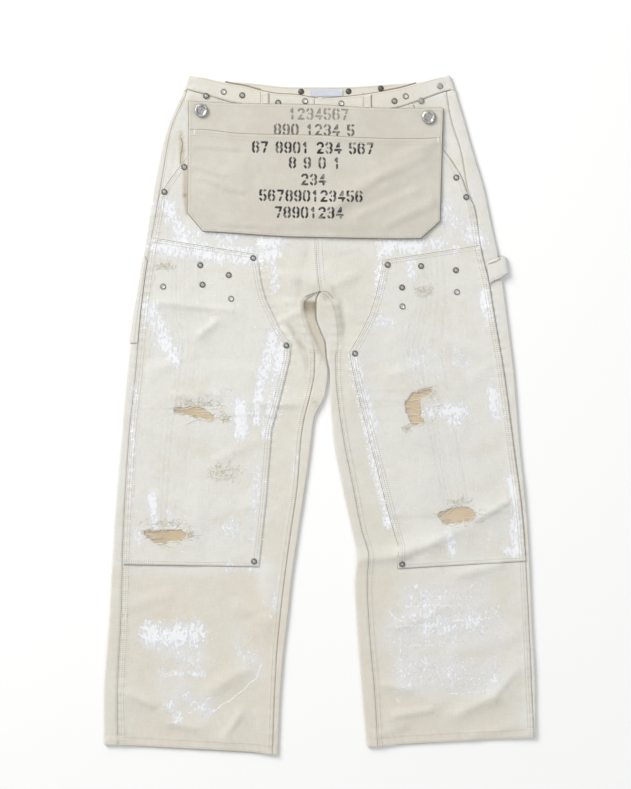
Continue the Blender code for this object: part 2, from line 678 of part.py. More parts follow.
def polyline(points, cells):
    """A line through the points, read at even distances."""
    points = np.array(points, float)
    run = np.concatenate([[0], np.cumsum(np.hypot(*np.diff(points, axis=0).T))])
    at = np.linspace(0, run[-1], cells + 1)
    return np.stack([np.interp(at, run, points[:, 0]), np.interp(at, run, points[:, 1])], axis=-1)


def patch_between(bottom, top, left, right):
    """Fills the space between four edges, each a line of points (a Coons patch)."""
    rows, columns = len(left), len(bottom)
    v = np.linspace(0, 1, rows)[:, None, None]
    u = np.linspace(0, 1, columns)[None, :, None]
    ruled = bottom[None] * (1 - v) + top[None] * v + left[:, None] * (1 - u) + right[:, None] * u
    corners = (bottom[0] * (1 - u) + bottom[-1] * u) * (1 - v) + (top[0] * (1 - u) + top[-1] * u) * v
    return ruled - corners


def top_of(x, y):
    """Height of the laid fronts at points on either side of the centre."""
    return np.where(x < CENTRE_FRONT, lay(RIGHT, x, y), lay(LEFT, x, y))


def apron_height(x, y):
    over_band = 1.4 * smooth((y - 405) / 40)
    return top_of(x, y) + POCKET_LIFT + LAYER + 0.1 + over_band + fold_height(APRON_FOLDS, x, y)


def build_apron():
    """The flap is one wall, and the pouch layer lies on its lower part, sewn along three sides."""
    top = polyline(APRON_TOP, APRON_COLUMNS)
    middle = polyline(POUCH_TOP, APRON_COLUMNS)
    bottom = polyline(APRON_BOTTOM, APRON_COLUMNS)
    left_side = polyline([APRON_CORNER_LEFT, middle[0]], 4)
    right_side = polyline([APRON_CORNER_RIGHT, middle[-1]], 4)
    lower = patch_between(bottom, middle, np.vstack([bottom[:1], left_side]), np.vstack([bottom[-1:], right_side]))
    upper = patch_between(middle, top, polyline([middle[0], top[0]], 2), polyline([middle[-1], top[-1]], 2))
    outline = np.vstack([lower, upper[1:]])
    x, y = outline[..., 0], outline[..., 1]
    apron = stack(x, y, apron_height(x, y))
    cloth("apron", apron, "apron_canvas")
    pouch = apron[: len(lower)].copy()
    pouch[..., 2] += LAYER
    cloth("apron_pouch", pouch, "apron_canvas")


def build_small_cloth():
    """Belt loops, fly shield, label, hammer loop and tool pocket."""
    for leg in LEGS:
        centre = BELT_LOOPS[leg.name]
        low, high = float(band_lower(centre)), float(along(WAIST_TOP, centre, 1))
        y = np.array([low - 8, low - 1.5, low + 2, (low + high) / 2, high - 1])[:, None]
        x = centre + np.array([-BELT_LOOP_HALF, BELT_LOOP_HALF])[None]
        lift = np.array([0.0, BAND_RAISE, BAND_RAISE, BAND_RAISE, BAND_RAISE])[:, None]
        cloth("belt_loop_" + leg.name, stack(x, y, lay(leg, x, y) + lift + 1.2 + GAP), "canvas", 1.2)
    y, half = np.array(FLY, float).T
    x = half[:, None] * np.array([[-1.0, 0.0, 1.0]])
    cloth("fly", stack(x, y[:, None], FLY_TOP), "canvas", 1.0)
    label = stack(np.array([LABEL_X]), np.array([LABEL_Y]).T, LABEL_TOP)
    cloth("label", label, "label", 0.9)
    build_hammer_loop()
    build_tool_pocket()


def build_hammer_loop():
    """A strap from the left outseam, out round the leg's edge and back to it at the surface."""
    path = np.array(LOOP_PATH)
    across = np.array(LOOP_ACROSS)[:, None]
    y = path[:, 2][None] + across
    x = LEFT.outer(y) + path[:, 0][None]
    cloth("hammer_loop", stack(x, y, path[:, 1][None]), "canvas", 1.4)


def build_tool_pocket():
    """The edge of the pocket on the back of the right leg, wrapped over the leg's outer roll."""
    made = []
    for share in np.linspace(0, 1, 6):
        y_edge = TOOL_POCKET_LOW + (TOOL_POCKET_HIGH - TOOL_POCKET_LOW) * share
        row = []
        for angle in (0, 30, 60, 90):
            turn = math.radians(angle)
            outer = RIGHT.outer(y_edge)
            radius = float(lay(RIGHT, outer, y_edge)) / 2
            out = radius + LAYER + GAP
            y = y_edge - 3 * share * angle / 90
            row.append((outer + radius - out * math.cos(turn), y, radius + out * math.sin(turn)))
        y = y_edge - 11 * share
        seam = RIGHT.outseam(y) - 1.0
        row.append((seam, y, float(lay(RIGHT, seam, y)) + LAYER + GAP))
        made.append(row)
    cloth("tool_pocket", made, "canvas")


def turned(name, profile, sides, finish):
    """A turned solid's mesh: its profile from the top down the outer side, spun by a Screw modifier."""
    mesh = bpy.data.meshes.new(name)
    line = bmesh.new()
    points = [line.verts.new((r * MM, 0, z * MM)) for r, z in profile]
    for a, b in zip(points, points[1:]):
        line.edges.new((a, b))
    line.to_mesh(mesh)
    line.free()
    guide = bpy.data.objects.new(name, mesh)
    CUTTERS.objects.link(guide)
    screw = guide.modifiers.new("turn", "SCREW")
    screw.steps = sides
    screw.render_steps = sides
    screw.use_merge_vertices = True
    screw.merge_threshold = 0.00005
    bpy.context.view_layer.update()
    made = bpy.data.meshes.new_from_object(guide.evaluated_get(bpy.context.evaluated_depsgraph_get()))
    bpy.data.objects.remove(guide)
    made.name = name
    made.materials.append(material(finish))
    made.shade_smooth()
    made.set_sharp_from_angle(angle=math.radians(40))
    return made


def seat(name, mesh, x, y, radius, trees):
    """Stands a turned piece on the cloth below it: its base is square to the cloth and just clear of it."""
    ring = [(0, 0)] + [(math.cos(a), math.sin(a)) for a in np.linspace(0, 2 * math.pi, 8, endpoint=False)]
    hits = []
    for dx, dy in ring:
        above = Vector(((x + dx * radius) * MM, (y + dy * radius) * MM, 0.1))
        found = [tree.ray_cast(above, Vector((0, 0, -1))) for tree in trees]
        found = [hit for hit in found if hit[0] is not None]
        if found:
            hits.append(max(found, key=lambda hit: hit[0].z))
    centre = hits[0]
    normal = centre[1].normalized()
    if normal.z < 0:
        normal = -normal
    lift = max((hit[0] - centre[0]).dot(normal) for hit in hits) + SEAT_GAP * MM
    piece = bpy.data.objects.new(name, mesh)
    piece.location = centre[0] + normal * lift
    piece.rotation_euler = normal.to_track_quat("Z", "Y").to_euler()
    PARTS.objects.link(piece)


def tree_of(name):
    graph = bpy.context.evaluated_depsgraph_get()
    return BVHTree.FromObject(bpy.data.objects[name], graph)


def build_hardware():
    bpy.context.view_layer.update()
    names = ["front_right", "front_left", "knee_right", "knee_left", "waistband_right", "waistband_left",
             "pocket_facing_right", "pocket_facing_left", "apron", "apron_pouch"]
    trees = {name: tree_of(name) for name in names}
    stud = turned("stud", STUD_PROFILE, STUD_SIDES, "pewter")
    hollow = turned("hollow_stud", HOLLOW_PROFILE, STUD_SIDES, "pewter")
    for item in STUDS:
        under = [trees[name] for name in names if name[-5:] == item.on[-5:]]
        seat("stud_" + item.name, hollow if item.hollow else stud, item.x, item.y, STUD_RADIUS, under)
    button = turned("button", BUTTON_PROFILE, BUTTON_SIDES, "silver")
    for name, (x, y) in APRON_BUTTONS.items():
        seat(name, button, x, y, BUTTON_FOOT, [trees["apron"]])
    waist_button = turned("waist_button", WAIST_BUTTON_PROFILE, STUD_SIDES, "silver")
    bands = [trees["waistband_right"], trees["waistband_left"]]
    seat("waist_button", waist_button, *WAIST_BUTTON, WAIST_BUTTON_FOOT, bands)


clear_scene()
PARTS = collection("carpenter_pants")
CUTTERS = collection("cutters")
for one_leg in LEGS:
    build_leg(one_leg)
    build_waistband(one_leg)
build_apron()
build_small_cloth()
build_hardware()
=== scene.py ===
import math

import bpy
import numpy as np
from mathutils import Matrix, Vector
from mathutils.bvhtree import BVHTree


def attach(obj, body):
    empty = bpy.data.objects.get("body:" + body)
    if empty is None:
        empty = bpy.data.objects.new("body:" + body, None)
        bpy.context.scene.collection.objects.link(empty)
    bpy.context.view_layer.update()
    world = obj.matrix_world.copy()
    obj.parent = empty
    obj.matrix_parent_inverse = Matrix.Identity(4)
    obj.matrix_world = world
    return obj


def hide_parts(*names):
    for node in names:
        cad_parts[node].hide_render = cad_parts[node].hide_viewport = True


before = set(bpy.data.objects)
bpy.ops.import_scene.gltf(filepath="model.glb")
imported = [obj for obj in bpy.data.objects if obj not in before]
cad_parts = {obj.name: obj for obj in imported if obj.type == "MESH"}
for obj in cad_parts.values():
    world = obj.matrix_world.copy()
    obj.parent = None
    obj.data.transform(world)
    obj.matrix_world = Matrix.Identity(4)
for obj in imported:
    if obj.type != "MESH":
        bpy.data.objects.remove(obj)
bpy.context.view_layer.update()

# Carpenter pants laid flat on their back, seen from straight above. +X is the wearer's left, +Y points to
# the waist and +Z is up. Lengths are millimetres, and meshFrom turns them into metres.
mm = 0.001

# What the whole garment is laid out with
cloth = {
    "wall": 1.1,
    "bandWall": 2.0,
    "gap": 0.4,
    "layer": 1.5,  # one more layer of canvas on top
    "patchWall": 1.0,
    "patchLift": 1.35,  # what a patch adds under the knee panel
    "rest": 4.0,  # height of the front's outer face over the surface
    "swell": 2.0,  # how much higher a leg's rolled edges are
    "swellWidth": 38.0,
    "forkRoll": 1.45,  # roll of the low back cloth between the legs
    "hemRaise": 0.8,
    "bandRaise": 1.0,
    "pocketLift": 1.6,
    "slantTop": 491.0,
    "centreFront": -8.0,
    "crotch": 193.5,
}

# The two legs. Columns: edges are y, outer edge, outseam; inners are y, inseam, fold, inner edge; knee, slant
# are y, x or x, y of one line; rows are y at the outseam, knee line, inseam and centre back, and steps.
legs = {
    "right": {
        "side": -1,
        "edges": [(-515, -337, -315), (-444, -337, -316), (-320, -329, -310.5), (-180, -321.5, -306),
                  (-39, -310.5, -298), (67, -301, -287), (156, -290.5, -279.5), (206, -282, -273.5),
                  (257, -274.5, -266), (320, -265, -254.5), (382, -254.5, -244), (444, -240, -232.5),
                  (485, -223.5, -216), (505, -213.5, -206.5), (530, -205.5, -199)],
        "inners": [(-530, -74, -65.5, -65.5), (-444, -71, -62, -62), (-382, -68, -57.5, -57.5),
                   (-320, -62.5, -50.5, -50.5), (-250, -54.5, -43, -43), (-180, -45, -33, -33),
                   (-109, -35, -22.5, -22.5), (-39, -29.5, -13, -13), (-8, -25, -9.5, -9.5),
                   (34, -14.5, 9, 9), (67, -8.5, 11.5, 12.5), (92, -8, 3, 9), (112, -12, -6, 7.5),
                   (132, -20.5, -15, 0), (156, -28.5, -23, -7.5), (175, -30, -25, -7.5),
                   (184, -23.5, -18, -6)],
        "knee": [(-530, -108), (-237, -95), (-132, -83.5), (-23, -75), (23, -62.5), (86, -47), (111, -45),
                 (135, -62.5), (180, -84), (203, -90.5), (250, -98.5), (505, -100)],
        "slant": [(340, -251), (366, -234), (398, -210), (444, -173), (505, -140)],
        "rows": {"hem": (-515, -526, -530, -522, 0), "hemStitch": (-501, -512, -516, -508, 1),
                 "overHem": (-499, -510, -514, -506, 1), "kneeBottom": (-233, -237, -238, -236, 7),
                 "thigh": (20, 20, 20, 20, 6), "fork": (67, 67, 67, 67, 1),
                 "kneeCorner": (111, 111, 112, 111, 2), "underCrotch": (199, 185, 184, 190, 4),
                 "crotch": (209, 194, 193.5, 200, 1), "kneeTop": (276, 250, 236, 262, 2),
                 "pocket": (340, 316, 306, 325, 2), "waist": (503, 480, 464, 483, 4)},
        "rips": {
            "upper": {"rows": ("thigh", -1, 1), "columns": (1, 6),
                      "outline": [(-231, 9.5), (-223, 13.5), (-212, 11), (-199, 15), (-187, 13.5), (-174, 6),
                                  (-164, 0), (-157, -5.5), (-168, -8), (-182, -6), (-206, -1.5), (-218, 2.5),
                                  (-228, 4.5)]},
            "lower": {"rows": ("kneeBottom", 0, 2), "columns": (0, 4),
                      "outline": [(-279, -180), (-265, -181), (-246, -179), (-226, -178), (-212, -181),
                                  (-207, -187), (-213, -195), (-228, -198), (-240, -201), (-252, -201),
                                  (-262, -196), (-270, -190)]},
        },
    },
    "left": {
        "side": 1,
        "edges": [(-507, 337, 334.5), (-444, 337, 331.5), (-320, 331.5, 326), (-180, 325, 318),
                  (-39, 311.5, 301), (67, 303, 287), (156, 292, 272), (206, 285.5, 264), (257, 277, 252),
                  (288, 270, 247.5), (320, 263.5, 242), (351, 257, 231.5), (413, 238.5, 220),
                  (463, 224.5, 204.5), (505, 211.5, 197), (530, 203, 191.5)],
        "inners": [(-518, 90.5, 73.5, 73.5), (-444, 86.5, 67, 67), (-320, 76.5, 57.5, 57.5),
                   (-262, 74, 54.5, 54.5), (-221, 76.5, 58, 58), (-180, 65.5, 50, 50),
                   (-109, 51.5, 34.5, 34.5), (-39, 37.5, 21.5, 21.5), (15, 29.5, 17, 17),
                   (67, 25, 15.5, 15.5), (92, 25, 11, 11), (112, 28, 9.5, 9.5), (132, 27.5, 2, 2),
                   (156, 25, -5.5, -5.5), (175, 18.5, -5.5, -5.5), (184, 12.5, -4, -4)],
        "knee": [(-518, 128), (-240, 121.5), (-206, 123), (-159, 109), (-98, 93.5), (-39, 78), (15, 64),
                 (70, 51.5), (98, 47), (130, 65.5), (156, 78), (184, 87.5), (210, 93.5), (241, 99),
                 (505, 100)],
        "slant": [(332, 237), (351, 228), (366, 223), (398, 204.5), (444, 167), (505, 135)],
        "rows": {"hem": (-503, -514, -518, -510, 0), "hemStitch": (-489, -500, -504, -496, 1),
                 "overHem": (-487, -498, -502, -494, 1), "kneeBottom": (-228, -240, -241, -236, 7),
                 "thigh": (20, 18, 18, 20, 6), "fork": (67, 60, 67, 67, 1),
                 "kneeCorner": (108, 98, 112, 111, 2), "underCrotch": (193, 178, 184, 190, 4),
                 "crotch": (203, 188, 193.5, 200, 1), "kneeTop": (264, 241, 236, 262, 2),
                 "pocket": (332, 312, 306, 325, 2), "waist": (503, 480, 464, 483, 4)},
        "rips": {
            "upper": {"rows": ("thigh", -1, 1), "columns": (3, 6),
                      "outline": [(182, 47), (178, 39), (167, 30), (156, 24), (157, 11), (160, -3),
                                  (165, -12), (154, -16), (142, -17), (139, -4), (132, 11), (134, 22),
                                  (142, 32), (153, 39), (168, 43)]},
            "lower": {"rows": ("kneeBottom", 1, 3), "columns": (2, 6),
                      "outline": [(181, -154), (192, -150), (206, -145), (220, -142), (234, -143),
                                  (243, -151), (245, -159), (234, -165), (218, -168), (199, -171),
                                  (190, -168)]},
        },
    },
}

# Folds and creases of the top layer: x1, y1, x2, y2, height, width
folds = [
    (59, -226, 125, -218, 2.6, 15), (125, -218, 178, -198, 3.0, 15), (178, -198, 222, -178, 2.0, 16),
    (246, -163, 292, -134, 2.2, 16), (215, -250, 283, -232, 1.8, 17), (100, -420, 145, -430, 1.6, 16),
    (117, -470, 176, -458, 2.2, 17), (215, -468, 272, -440, 2.4, 16), (272, -440, 312, -396, 2.0, 16),
    (-252, 176, -138, 163, 1.6, 18), (-190, 122, -160, 146, 1.2, 16), (-101, 17, -30, 15, 1.6, 16),
    (-106, -142, -76, -168, 1.4, 16), (-306, -436, -248, -464, 2.2, 17), (-236, -480, -190, -489, 1.4, 16),
    (-168, -430, -112, -396, 2.0, 17), (-150, -508, -122, -470, 1.8, 16), (-55, 150, -20, 68, 2.0, 15),
    (-40, 215, 38, 214, 1.8, 16), (-90, -330, -78, -250, 1.4, 15), (66, 120, 44, 0, 1.4, 16),
]
creases = [
    (-225, 31, -160, 31, 0.7, 7), (-187, 125, -164, 145, 0.7, 6), (-250, 175, -140, 163, 0.6, 7),
    (-100, 16, -32, 15, 0.6, 6), (-100, -140, -78, -164, 0.5, 6), (-300, -437, -262, -455, 0.8, 7),
    (-234, -481, -196, -488, 0.6, 6), (-164, -429, -115, -399, 0.8, 7), (-148, -506, -125, -468, 0.7, 7),
    (62, -226, 124, -219, 0.55, 7), (126, -217, 176, -199, 0.55, 8), (180, -196, 220, -178, 0.5, 8),
    (248, -161, 290, -137, 0.8, 6), (218, -249, 280, -234, 0.7, 7), (103, -422, 140, -428, 0.6, 6),
    (118, -469, 172, -460, 0.8, 6), (218, -467, 270, -442, 0.9, 7), (276, -438, 310, -398, 0.8, 7),
    (-52, 148, -24, 74, 0.6, 6), (-16, 27, -2, 14, 0.6, 6), (20, 176, 62, 150, 0.5, 8),
    (-20, 180, -52, 176, 0.5, 7), (-24, 168, -58, 150, 0.5, 7), (14, 200, 56, 218, 0.5, 8),
    (-12, 203, -58, 222, 0.5, 8), (190, -140, 262, -120, -0.5, 11), (140, -60, 215, -78, -0.4, 13),
    (-270, -60, -190, -84, -0.4, 14), (-160, -70, -100, -40, 0.4, 10), (110, 60, 160, 80, 0.4, 10),
    (-280, -120, -230, -140, 0.4, 9), (240, 60, 285, 90, 0.4, 10), (200, 110, 260, 96, 0.4, 11),
    (-260, 70, -200, 92, 0.4, 10), (-300, -300, -240, -282, 0.5, 11), (-130, -300, -80, -322, 0.5, 10),
    (120, -330, 190, -300, 0.5, 12), (210, -370, 300, -345, 0.5, 12), (-220, -372, -130, -350, -0.4, 13),
    (90, -500, 130, -484, 0.5, 8), (235, -500, 300, -486, 0.5, 8), (-330, -470, -296, -500, 0.5, 8),
    (-96, -468, -76, -500, 0.5, 8),
]
# Valleys: x1, y1, x2, y2, depth, width, darkness of the painted shade
valleys = [
    (30.5, 184, 34, 112, 1.4, 7, 1.3), (-54.6, 148, -37.4, 121.7, 1.1, 4.5, 0.9),
    (-37.4, 121.7, -21.8, 98.3, 1.1, 4.5, 0.9), (-21.8, 98.3, -18.7, 67, 0.8, 4, 0.7),
    (-15.6, 26.5, -1.6, 12.5, 0.8, 4, 1.0), (-34, 179, -31, 226, 0.8, 6, 0.6),
    (-31, 226, -15.6, 265, 0.7, 6, 0.5), (18.7, 206, 25, 179, 0.9, 5, 0.6),
    (1.6, 190, 12.5, 175, 0.6, 3, 0.9), (-6.2, 192, -23.4, 181, 0.5, 3, 0.8),
    (7.8, 193, 20, 182.5, 0.6, 3, 0.8), (-90, 165, -50, 160, 0.5, 13, 0.35),
    (-203, 37, -160, 28, 0.8, 5, 0.5), (-100, 14, -30, 11, 0.9, 6, 0.6),
    (-304, -437, -250, -463, 1.0, 6, 0.5), (-164, -429, -114, -398, 1.0, 6, 0.5),
    (-148, -507, -109, -460, 0.9, 5, 0.45), (218, -468, 281, -437, 1.0, 6, 0.5),
    (281, -437, 312, -395, 1.0, 6, 0.5), (62, -236, 125, -228, 0.9, 6, 0.35),
    (125, -228, 178, -208, 0.9, 6, 0.35), (248, -170, 292, -143, 0.8, 5, 0.35),
    (-240, 168, -150, 158, 0.7, 6, 0.35), (20, 250, 70, 258, 0.5, 5, 0.5),
    (-40, 225, -80, 238, 0.5, 6, 0.35), (-290, -20, -250, -34, 0.6, 6, 0.3),
    (140, -40, 190, -62, 0.6, 8, 0.3), (210, 150, 250, 138, 0.6, 6, 0.3),
    (-130, -325, -80, -300, 0.7, 7, 0.35), (110, -345, 180, -330, 0.6, 8, 0.3),
    (-230, -330, -170, -350, 0.5, 8, 0.3),
]
apronValleys = [
    (-195, 383, -148, 368, 0.8, 5, 0.6), (-186, 364, -118, 344, 1.0, 6, 0.7),
    (-150, 292, -95, 290, 0.6, 4, 0.5), (30, 318, 96, 362, 0.9, 8, 0.5), (96, 362, 158, 392, 0.9, 8, 0.5),
    (-190, 414, -120, 409, 0.4, 4, 0.35), (-150, 466, -90, 462, 0.4, 5, 0.3),
    (-60, 288, 60, 284, 0.4, 6, 0.3),
]
apronFolds = [(20, 322, 158, 398, 2.4, 20), (-180, 345, -120, 388, 1.4, 20), (60, 300, 170, 340, 1.4, 18)]
apronCreases = [
    (60, 312, 150, 350, 0.9, 8), (104, 296, 174, 330, 0.9, 8), (-20, 308, 60, 336, 0.6, 10),
    (120, 400, 176, 424, 0.7, 8),
    (-195, 387, -150, 372, 0.5, 6), (-186, 368, -138, 350, 0.5, 6), (-150, 352, -120, 348, 0.5, 5),
    (-190, 420, -130, 416, 0.3, 5), (30, 330, 92, 372, 0.6, 9), (96, 372, 160, 404, 0.6, 9),
    (50, 318, 130, 340, -0.5, 12), (-60, 300, 40, 296, 0.3, 9), (-150, 300, -70, 292, 0.4, 7),
    (110, 430, 170, 420, 0.3, 8), (-60, 470, 60, 466, 0.25, 9),
]

# Apron and its pouch layer, waistband's top edge as x, y on the front and y on the back
apronTop = [(-204.5, 489), (-140, 486), (-93, 485), (0, 483.5), (62, 479.5), (125, 478), (156, 478),
            (192, 479)]
pouchTop = [(-204.5, 444.5), (-187, 444.5), (-125, 438.5), (-78, 437), (0, 435.5), (62, 432), (125, 430.5),
            (156, 430.5), (190.5, 432)]
apronBottom = [(-182.5, 287), (-140, 284.5), (-47, 278.5), (0, 277.5), (125, 275.5), (157.5, 276)]
apronCorners = {"left": (-206, 315), "right": (187, 302.5)}
waistTop = [(-205.5, 530, 530), (-179.5, 526, 526), (-157.5, 521, 521), (-140, 517, 520), (-117, 513, 519),
            (-93, 506.5, 516.5), (-62, 501, 513), (-39, 500, 512), (0, 494, 512), (31, 496, 512),
            (62, 499, 513), (93, 504, 515), (125, 510, 517), (143, 515, 518), (164, 521, 521),
            (182, 526, 526), (203, 530, 530)]
riseSeam = [(193, 0), (217, -3), (260, -6), (335, -8), (505, -8)]  # y, x


def ease(t):
    t = np.clip(t, 0.0, 1.0)
    return t * t * (3 - 2 * t)


def readCurve(table, at, column=1):
    # a cubic through the table's points, its slopes held so that it never swings past them
    x = np.array([row[0] for row in table], float)
    y = np.array([row[column] for row in table], float)
    step = np.diff(x)
    slope = np.diff(y) / step
    heavy, light = 2 * step[1:] + step[:-1], step[1:] + 2 * step[:-1]
    same = slope[:-1] * slope[1:] > 0
    safe = np.where(same, slope[:-1] * slope[1:], 1.0)
    after, ahead = np.where(same, slope[1:], 1), np.where(same, slope[:-1], 1)
    middle = (heavy + light) * safe / (heavy * after + light * ahead)
    tangent = np.concatenate([[slope[0]], np.where(same, middle, 0.0), [slope[-1]]])
    at = np.clip(np.asarray(at, float), x[0], x[-1])
    i = np.clip(np.searchsorted(x, at, side="right") - 1, 0, len(step) - 1)
    t, h = (at - x[i]) / step[i], step[i]
    return (y[i] * (1 + 2 * t) * (1 - t) ** 2 + tangent[i] * h * t * (1 - t) ** 2
            + y[i + 1] * t * t * (3 - 2 * t) + tangent[i + 1] * h * t * t * (t - 1))


def readLine(table, at):
    return np.interp(at, [row[0] for row in table], [row[1] for row in table])


def alongLine(line, x, y):
    # for a line x1, y1, x2, y2: how far x, y are along it, aside of it and past its ends, and its length
    x1, y1, x2, y2 = line[:4]
    length = max(math.hypot(x2 - x1, y2 - y1), 1e-6)
    ux, uy = (x2 - x1) / length, (y2 - y1) / length
    ahead = (x - x1) * ux + (y - y1) * uy
    aside = (y - y1) * ux - (x - x1) * uy
    return ahead, aside, np.maximum(0, np.abs(ahead - length / 2) - length / 2), length


def foldHeight(lines, x, y):
    # sum of soft ridges: a bell across each line, and a fade past its ends
    total = np.zeros(np.broadcast(x, y).shape)
    for line in lines:
        _, aside, past, _ = alongLine(line, x, y)
        total += line[4] * np.exp(-(aside**2 + past**2) / line[5] ** 2)
    return total


def crumple(seed, waves, shortest, longest):
    # directions, wave numbers and starts of the waves that rumple sums
    rng = np.random.default_rng(seed)
    turn = rng.uniform(0, math.pi, waves)
    length = np.exp(rng.uniform(math.log(shortest), math.log(longest), waves))
    return np.cos(turn) / length, np.sin(turn) / length, rng.uniform(0, 1, waves), length / length.sum()


def rumple(waves, x, y):
    # mean of waves with pinched crests: 1 - 2|sin|, longer waves weighing more
    total = np.zeros(np.broadcast(x, y).shape)
    for kx, ky, start, weight in zip(*waves):
        phase = math.pi * (x * kx + y * ky + start)
        total += weight * (1 - 2 * np.sqrt(np.sin(phase) ** 2 + 0.02))
    return total


bigRumple = crumple(3, 26, 38, 120)
fineRumple = crumple(8, 26, 16, 36)


def outerEdge(leg, y):
    return readCurve(leg["edges"], y, 1)


def outseam(leg, y):
    return readCurve(leg["edges"], y, 2)


def innerLine(leg, y, column):
    return readCurve(leg["inners"] + [(cloth["crotch"], 0, 0, 0)], y, column)


def pucker(distance, run, reach, length, depth, seed):
    # ripples square to a stitched seam, dying out with distance from it
    start = seed * 1.7
    wave = np.sin(2 * math.pi * run / length + start + 1.6 * np.sin(run / (length * 2.7) + start))
    return depth * np.exp(-(distance / reach) ** 2) * wave


def paintedValleyShade(lines, x, y):
    # painted shade, grey in the valleys: strongest in the middle, and fading to nothing at both ends
    total = np.zeros(np.broadcast(x, y).shape)
    for line in lines:
        ahead, aside, _, length = alongLine(line, x, y)
        width, dark = line[5:]
        aside = aside + 0.12 * width * np.sin(ahead * 0.13 + line[0])
        total += dark * np.exp(-((aside / width) ** 2) - (2.2 * (ahead / length - 0.5)) ** 4)
    return total


# Relief: how strong each kind is, where the apron quietens it, and the ripples beside each seam as reach,
# length, depth and seed
reliefLook = {
    "creases": 2.6, "bigRumple": 2.1, "fineRumple": 0.8, "deepest": -1.1, "quiet": 0.65,
    "apronLeft": -212, "apronRight": 196, "apronFoot": 272, "apronFade": 12,
    "outseam": (11, 13, 0.42, 1), "inseam": (11, 15, 0.34, 2), "hem": (10, 13, 0.58, 3),
    "knee": (11, 14, 0.3, 4),
}


def relief(leg, x, y):
    # creases, crumple and seam puckers that all layers of a leg share, quieter under the apron
    look = reliefLook
    total = look["creases"] * foldHeight(creases, x, y) + look["bigRumple"] * rumple(bigRumple, x, y)
    total = total + look["fineRumple"] * rumple(fineRumple, x, y)
    total = np.maximum(total - foldHeight(valleys, x, y), look["deepest"])
    fade = look["apronFade"]
    covered = ease((x - look["apronLeft"]) / fade) * ease((look["apronRight"] - x) / fade)
    total = total * (1 - look["quiet"] * covered * ease((y - look["apronFoot"]) / fade))
    total = total + pucker(x - outseam(leg, y), y, *look["outseam"])
    total = total + ease((215 - y) / 40) * pucker(x - innerLine(leg, y, 1), y, *look["inseam"])
    hem = leg["rows"]["hem"][2] + 12 + (x - innerLine(leg, y, 1)) * leg["side"] * 0.055
    total = total + pucker(y - hem, x + 0.6 * y, *look["hem"])
    knee = np.abs(x - readLine(leg["knee"], y)) + 60 * ease((np.abs(y - 5) - 235) / 20)
    return total + pucker(knee, y, *look["knee"])


def topHeight(leg, x, y):
    # outer face of the top layer: rest height, a bell beside each rolled edge, folds and relief
    fromOuter = (x - outerEdge(leg, y)) / cloth["swellWidth"]
    fromInner = (x - innerLine(leg, y, 2)) / cloth["swellWidth"]
    bells = np.exp(-fromOuter**2) + ease((265 - y) / 75) * np.exp(-fromInner**2)
    return cloth["rest"] + cloth["swell"] * np.minimum(bells, 1.0) + foldHeight(folds, x, y) + relief(leg,
                                                                                                      x, y)


def felled(leg, x, y):
    # the folded seam allowance under the top stitching, beside outseam and inseam
    fromOuter = (outseam(leg, y) - x) * leg["side"]
    fromInner = (x - innerLine(leg, y, 1)) * leg["side"]
    rise = ease((x + 12) / 2) * ease((9 - x) / 2) * ease((y - 200) / 8)
    return (0.5 * ease((12.5 - fromOuter) / 2.5) + 0.4 * ease((9.5 - fromInner) / 2.5) * ease((120 - y) / 20)
            + 0.4 * rise)


def frontHeight(leg, x, y):
    # lifted beside the pocket's slanted edge, where it laps over the facing
    inwards = (readCurve(leg["slant"], y) - x) * leg["side"] * 0.8
    lapped = 1 - ease((inwards - 14) / 30)
    return topHeight(leg, x, y) + cloth["pocketLift"] * lapped * ease((y - 280) / 50) + felled(leg, x, y)


def bandLower(x, back=False):
    # y of the waistband's lower seam
    tall = 30 - 8 * np.clip(np.abs(x) / 206, 0, 1) ** 4
    return readCurve(waistTop, x, 2 if back else 1) - tall


def trimTop(y, limit, pitch=0.9):
    # rows near the top step down from the waistband's seam, so that none lies above the next
    count = min(14, len(y) - 1)
    for i in range(1, count):
        y[-1 - i] = np.minimum(y[-1 - i], limit - pitch * i)
    y[-1] = limit
    return y


def between(a, b, cells):
    share = np.linspace(0, 1, cells + 1)
    return a[:, None] + (b - a)[:, None] * share


def stack(x, y, z):
    return np.stack(np.broadcast_arrays(x, y, z), axis=-1).astype(float)


def legRows(leg, times):
    # rows from hem to waist, `times` as many as in the solids, and each station's row
    made, stations, before = [], {}, None
    for label, row in leg["rows"].items():
        ends = np.array(row[:4], float)
        steps = row[4] * times
        if before is None:
            made.append(ends[None])
        else:
            made.append(before + (ends - before) * (np.arange(1, steps + 1)[:, None] / steps))
        stations[label] = sum(len(part) for part in made) - 1
        before = ends
    return np.concatenate(made), stations


